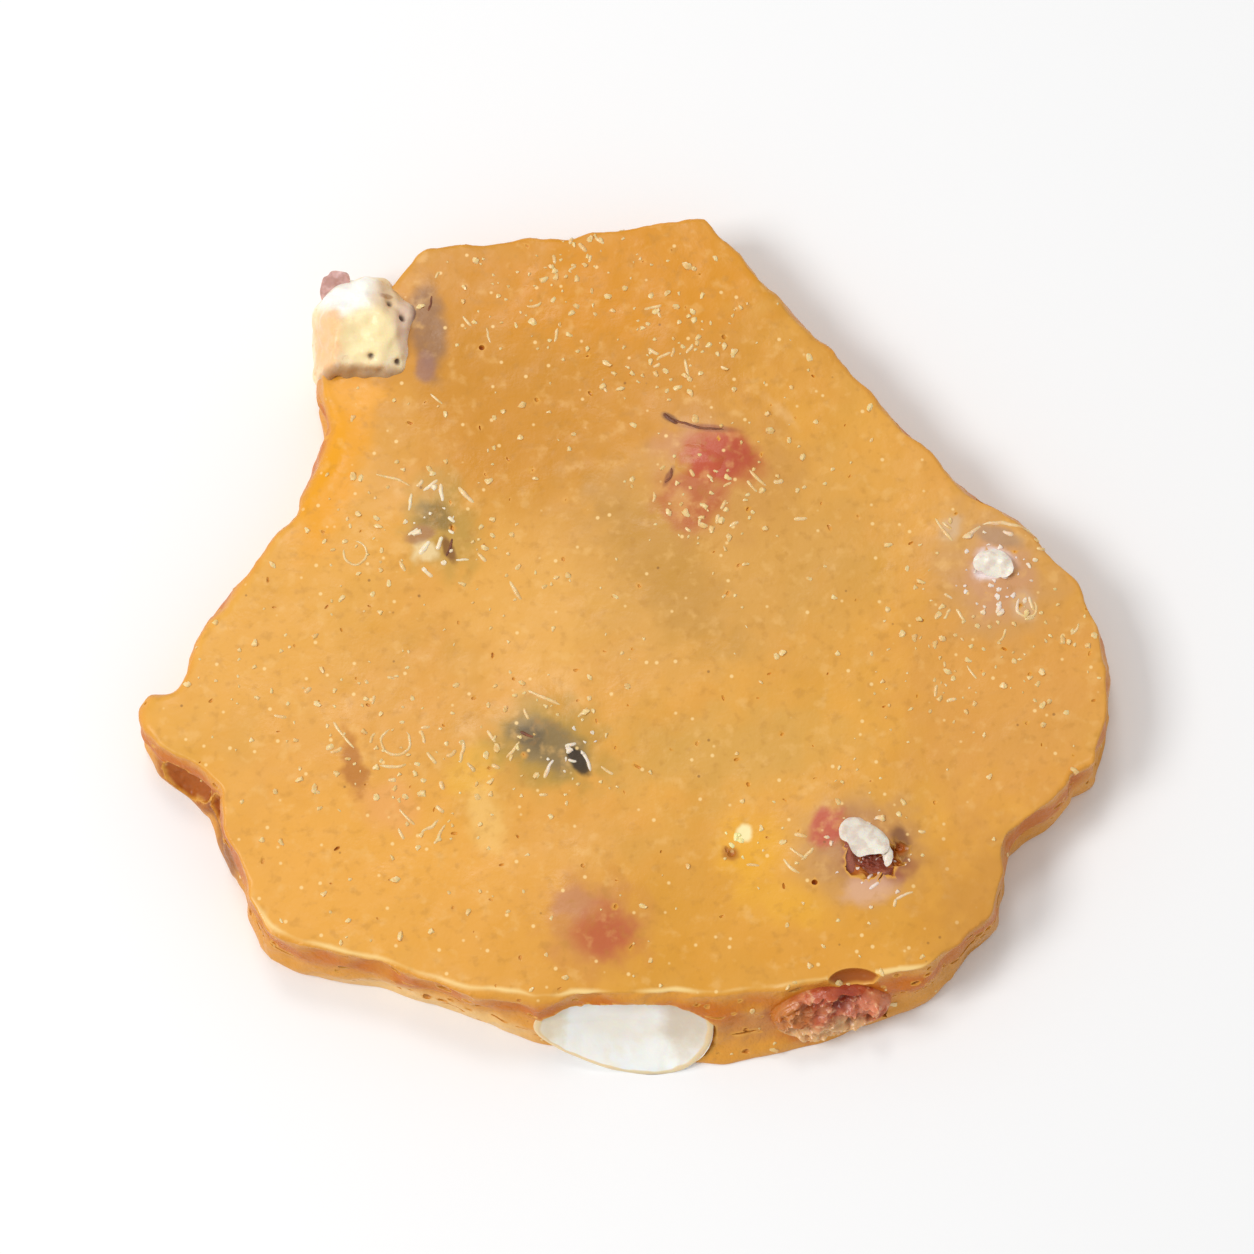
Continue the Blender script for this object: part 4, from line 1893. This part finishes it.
        # A point's radius is then the tube's, in millimetres.
        curve.bevel_depth = MM
        curve.bevel_resolution = 2
        curve.use_fill_caps = True
        surface = BVHTree.FromPolygons(
            [vertex.co for vertex in ground.vertices], [face.vertices for face in ground.polygons]
        )
        above = 2 * slab.thickness * MM
        for stroke in strokes:
            path = self.stroke_path(stroke)
            spline = curve.splines.new("POLY")
            spline.points.add(len(path) - 1)
            for index, (place, point) in enumerate(zip(path, spline.points)):
                start = (slab.shift + place.to_3d()) * MM
                start.z = above
                hit = surface.ray_cast(start, Vector((0, 0, -1)))[0]
                height = hit.z if hit else slab.thickness * MM
                off_middle = abs(2 * index / (len(path) - 1) - 1)
                radius = 0.42 * stroke.width * math.sqrt(1.02 - off_middle**3)
                point.co = (start.x, start.y, height - 0.2 * stroke.width * MM, 1.0)
                point.radius = radius * (0.9 + 0.3 * wave(place.to_3d(), 0.6, seed=17.0))
        tubes = bpy.data.objects.new(name, curve)
        bpy.context.scene.collection.objects.link(tubes)
        bpy.context.view_layer.update()
        graph = bpy.context.evaluated_depsgraph_get()
        mesh = bpy.data.meshes.new_from_object(tubes.evaluated_get(graph), depsgraph=graph)
        bpy.data.objects.remove(tubes)
        bpy.data.curves.remove(curve)
        welded = bmesh.new()
        welded.from_mesh(mesh)
        bmesh.ops.remove_doubles(welded, verts=welded.verts, dist=0.001 * MM)
        welded.to_mesh(mesh)
        welded.free()
        mesh.materials.append(material)
        return make_object(name, mesh)

    def build(self, slab: Slab, candy: bpy.types.Object, kernels: Iterable[bpy.types.Object]) -> None:
        """Builds the specks and the slivers, each kind as one piece.

        Args:
            slab: The slab's sizes.
            candy: The finished slab.
            kernels: The finished kernels in its face.
        """
        near = (
            Stain(Point(28.4, 1.0, 7), Point(3.2, 3.4, 9), 0, "#FBE6DC", 0.8, 0.6, 0.6),
            Stain(Point(18.4, -22.0, 7), Point(3.4, 3.4, 9), 0, "#F7DDD6", 0.8, 0.6, 0.6),
            Stain(Point(-4.0, -13.2, 7), Point(2.6, 2.0, 9), 0, "#F3E2D2", 0.8, 0.6, 0.6),
            Stain(Point(-14.2, 4.5, 7), Point(2.6, 3.6, 9), 0, "#FFEACB", 0.8, 0.6, 0.6),
            Stain(Point(8.6, -20.0, 7), Point(1.6, 1.6, 9), 0, "#FFF0A8", 0.9, 0.6, 0.3),
        )
        speck = Scrap("dry_sugar", "#F4D090", "#EABA72", 0.3, near=near).build(slab.shift)
        sliver = Scrap("sugar_crystal", "#F5CD92", "#E9B873", 0.22, near=near).build(slab.shift)
        skin = Scrap("peanut_skin", "#6E3A1E", "#8E5230", 0.5).build(slab.shift)
        ground = self.ground(slab, candy, kernels)
        specks = make_object("sugar_specks", ground.copy())
        self.specks(speck).apply_to(specks)
        hand_over(specks, Slot.CANDY)
        crystals = self.slivers("glaze_slivers", self.strokes, slab, ground, sliver)
        hand_over(crystals, Slot.CANDY)
        threads = self.slivers("skin_threads", self.skin_strokes, slab, ground, skin)
        hand_over(threads, Slot.RED_SKIN)
        bpy.data.meshes.remove(ground)


# ----------------------------------------------------------------------------------------------
# Studio
# ----------------------------------------------------------------------------------------------


class SoftBox(NamedTuple):
    """A square soft light aimed at the object."""

    name: str
    azimuth: float
    elevation: float
    distance: float
    side: float
    power: float


@dataclass(frozen=True)
class Studio:
    """A plain pale floor, soft light from above, and a camera that looks down on the face."""

    elevation: float = 73.0
    lens: float = 135.0
    sensor: float = 36.0
    fill: float = 0.77
    floor_side: float = 6000.0
    floor_colour: str = "#FAFAFA"
    sky_colour: str = "#FFFFFF"
    sky_strength: float = 0.55
    lights: tuple[SoftBox, ...] = (
        SoftBox("key_light", -78, 50, 600, 220, 1.7),
        SoftBox("back_light", -165, 62, 700, 160, 0.75),
    )

    def direction(self, azimuth: float, elevation: float) -> Vector:
        """The direction from the object to a place round it. Azimuth 0 is in front."""
        turn, rise = math.radians(azimuth), math.radians(elevation)
        return Vector((math.sin(turn) * math.cos(rise), -math.cos(turn) * math.cos(rise), math.sin(rise)))

    def build(self) -> None:
        """Makes the floor, the light and the camera."""
        low, high = cad_box
        middle = (low + high) / 2
        self.make_floor()
        self.make_sky()
        for light in self.lights:
            self.make_light(light, middle)
        self.make_camera(middle, (high - low).x)
        bpy.context.scene.view_settings.view_transform = "Standard"

    def make_floor(self) -> None:
        """Lays a matt paper sheet under the object."""
        mesh = bpy.data.meshes.new("floor")
        half = self.floor_side * MM / 2
        corners = [(-half, -half, 0), (half, -half, 0), (half, half, 0), (-half, half, 0)]
        mesh.from_pydata(corners, [], [(0, 1, 2, 3)])
        material = bpy.data.materials.new("studio_paper")
        material.use_nodes = True
        shader = material.node_tree.nodes["Principled BSDF"]
        shader.inputs["Base Color"].default_value = linear(self.floor_colour)
        shader.inputs["Roughness"].default_value = 0.9
        mesh.materials.append(material)
        make_object("floor", mesh)

    def make_sky(self) -> None:
        """Fills the room with even white light."""
        world = bpy.data.worlds.new("studio")
        world.use_nodes = True
        sky = world.node_tree.nodes["Background"]
        sky.inputs["Color"].default_value = linear(self.sky_colour)
        sky.inputs["Strength"].default_value = self.sky_strength
        bpy.context.scene.world = world

    def make_light(self, light: SoftBox, middle: Vector) -> None:
        """Hangs one soft box and aims it at the object's middle."""
        data = bpy.data.lights.new(light.name, "AREA")
        data.size = light.side * MM
        data.energy = light.power
        lamp = bpy.data.objects.new(light.name, data)
        bpy.context.scene.collection.objects.link(lamp)
        away = self.direction(light.azimuth, light.elevation)
        lamp.location = middle + away * light.distance * MM
        lamp.rotation_euler = (-away).to_track_quat("-Z", "Y").to_euler()

    def make_camera(self, middle: Vector, width: float) -> None:
        """Sets the camera in front and high, so that the object fills its share of the frame."""
        data = bpy.data.cameras.new("camera")
        data.lens = self.lens
        data.sensor_width = self.sensor
        away = self.direction(0, self.elevation)
        camera = bpy.data.objects.new("camera", data)
        bpy.context.scene.collection.objects.link(camera)
        camera.location = middle + away * (width / self.fill * self.lens / self.sensor)
        camera.rotation_euler = (-away).to_track_quat("-Z", "Y").to_euler()
        bpy.context.scene.camera = camera


def under_face(slab: Slab, x: float, y: float, half_height: float, proud: float) -> Point:
    """The middle of a kernel whose top stands this proud of the slab's face."""
    return Point(x, y, slab.face_height(x, y) - half_height + proud)


def build_kernels(slab: Slab) -> list[bpy.types.Object]:
    """Builds the six kernels.

    Args:
        slab: The slab that they are set in.

    Returns:
        Those that swell the slab's face.
    """
    shift = slab.shift
    blanched = BlanchedKernel().build(shift)
    glaze = PouredCandy()
    glazed = glaze.build_over_kernel(shift)
    torn = TornKernel()
    ChippedKernel(
        "corner_peanut", "kernel_corner", Slot.BLANCHED,
        Point(-19.9, 20.8, 4.95), Point(6.1, 5.6, 4.3), Point(-6, 6, 78),
    ).build(shift, blanched)
    SplitKernel(
        "split_peanut", "kernel_wall_split", Slot.BLANCHED,
        Point(0.1, -33.6, 3.0), Point(6.75, 4.1, 2.2), Point(46, 0, 0), taper=-0.4,
    ).build(shift, SplitFace().build(shift))
    TornOpenKernel(
        "torn_wall_peanut", "kernel_wall_red", Slot.RED_SKIN,
        Point(15.6, -32.0, 2.9), Point(4.6, 2.5, 2.6), Point(62, 0, 8),
    ).build(shift, torn.build("torn_red_skin", shift))
    return [
        Kernel(
            "glazed_peanut", "kernel_face_red", Slot.RED_SKIN,
            under_face(slab, 6.9, 9.3, 1.7, 0.03), Point(5.4, 4.3, 1.7), Point(0, 0, -24), lump_height=0.06,
        ).build(shift, glazed, glaze),
        Kernel(
            "glazed_peanut_right", "kernel_face_right", Slot.RED_SKIN,
            under_face(slab, 28.4, 0.9, 1.7, 0.03), Point(4.5, 3.3, 1.7), Point(0, 0, 118), lump_height=0.06,
        ).build(shift, glazed, glaze),
        HollowKernel(
            "torn_face_peanut", "kernel_face_torn", Slot.RED_SKIN,
            under_face(slab, 18.1, -20.9, 2.85, -0.05), Point(4.3, 3.5, 2.85), Point(0, 0, -38),
        ).build(shift, torn.build("torn_red_skin_glazed", shift)),
    ]


def build_flakes(shift: Vector) -> None:
    """Builds the scraps of skin and kernel that stand up from the glaze."""
    pale = Scrap("torn_kernel", "#FBEEDC", "#E6D2C2", 0.3).build(shift)
    mauve = Scrap("pale_peanut_skin", "#CBA29A", "#B08478", 0.4).build(shift)
    Flakes(
        "kernel_flakes", Slot.BLANCHED,
        (
            Flake(Point(18.3, -19.7, 7.2), 4.0, 3.4, 110, Point(-16, 8, -24)),
            Flake(Point(19.9, -21.3, 6.9), 1.9, 0.8, 90, Point(0, 0, -80)),
            Flake(Point(28.4, 1.7, 7.0), 3.1, 2.2, 80, Point(0, 0, -14)),
        ),
    ).build(shift, pale)
    Flakes(
        "pale_skin_flakes", Slot.RED_SKIN,
        (Flake(Point(-22.6, 24.6, 5.7), 3.2, 2.0, 90, Point(10, -35, 50)),),
    ).build(shift, mauve)


def main() -> None:
    """Builds the piece and its studio."""
    logging.basicConfig(level=logging.INFO, format="%(name)s %(message)s")
    slab = Slab()
    shift = slab.lay_out()
    Studio().build()
    candy = slab.build(PouredCandy())
    in_face = build_kernels(slab)
    build_flakes(shift)
    GlazeScatter().build(slab, candy, in_face)


if __name__ == "__main__":
    main()
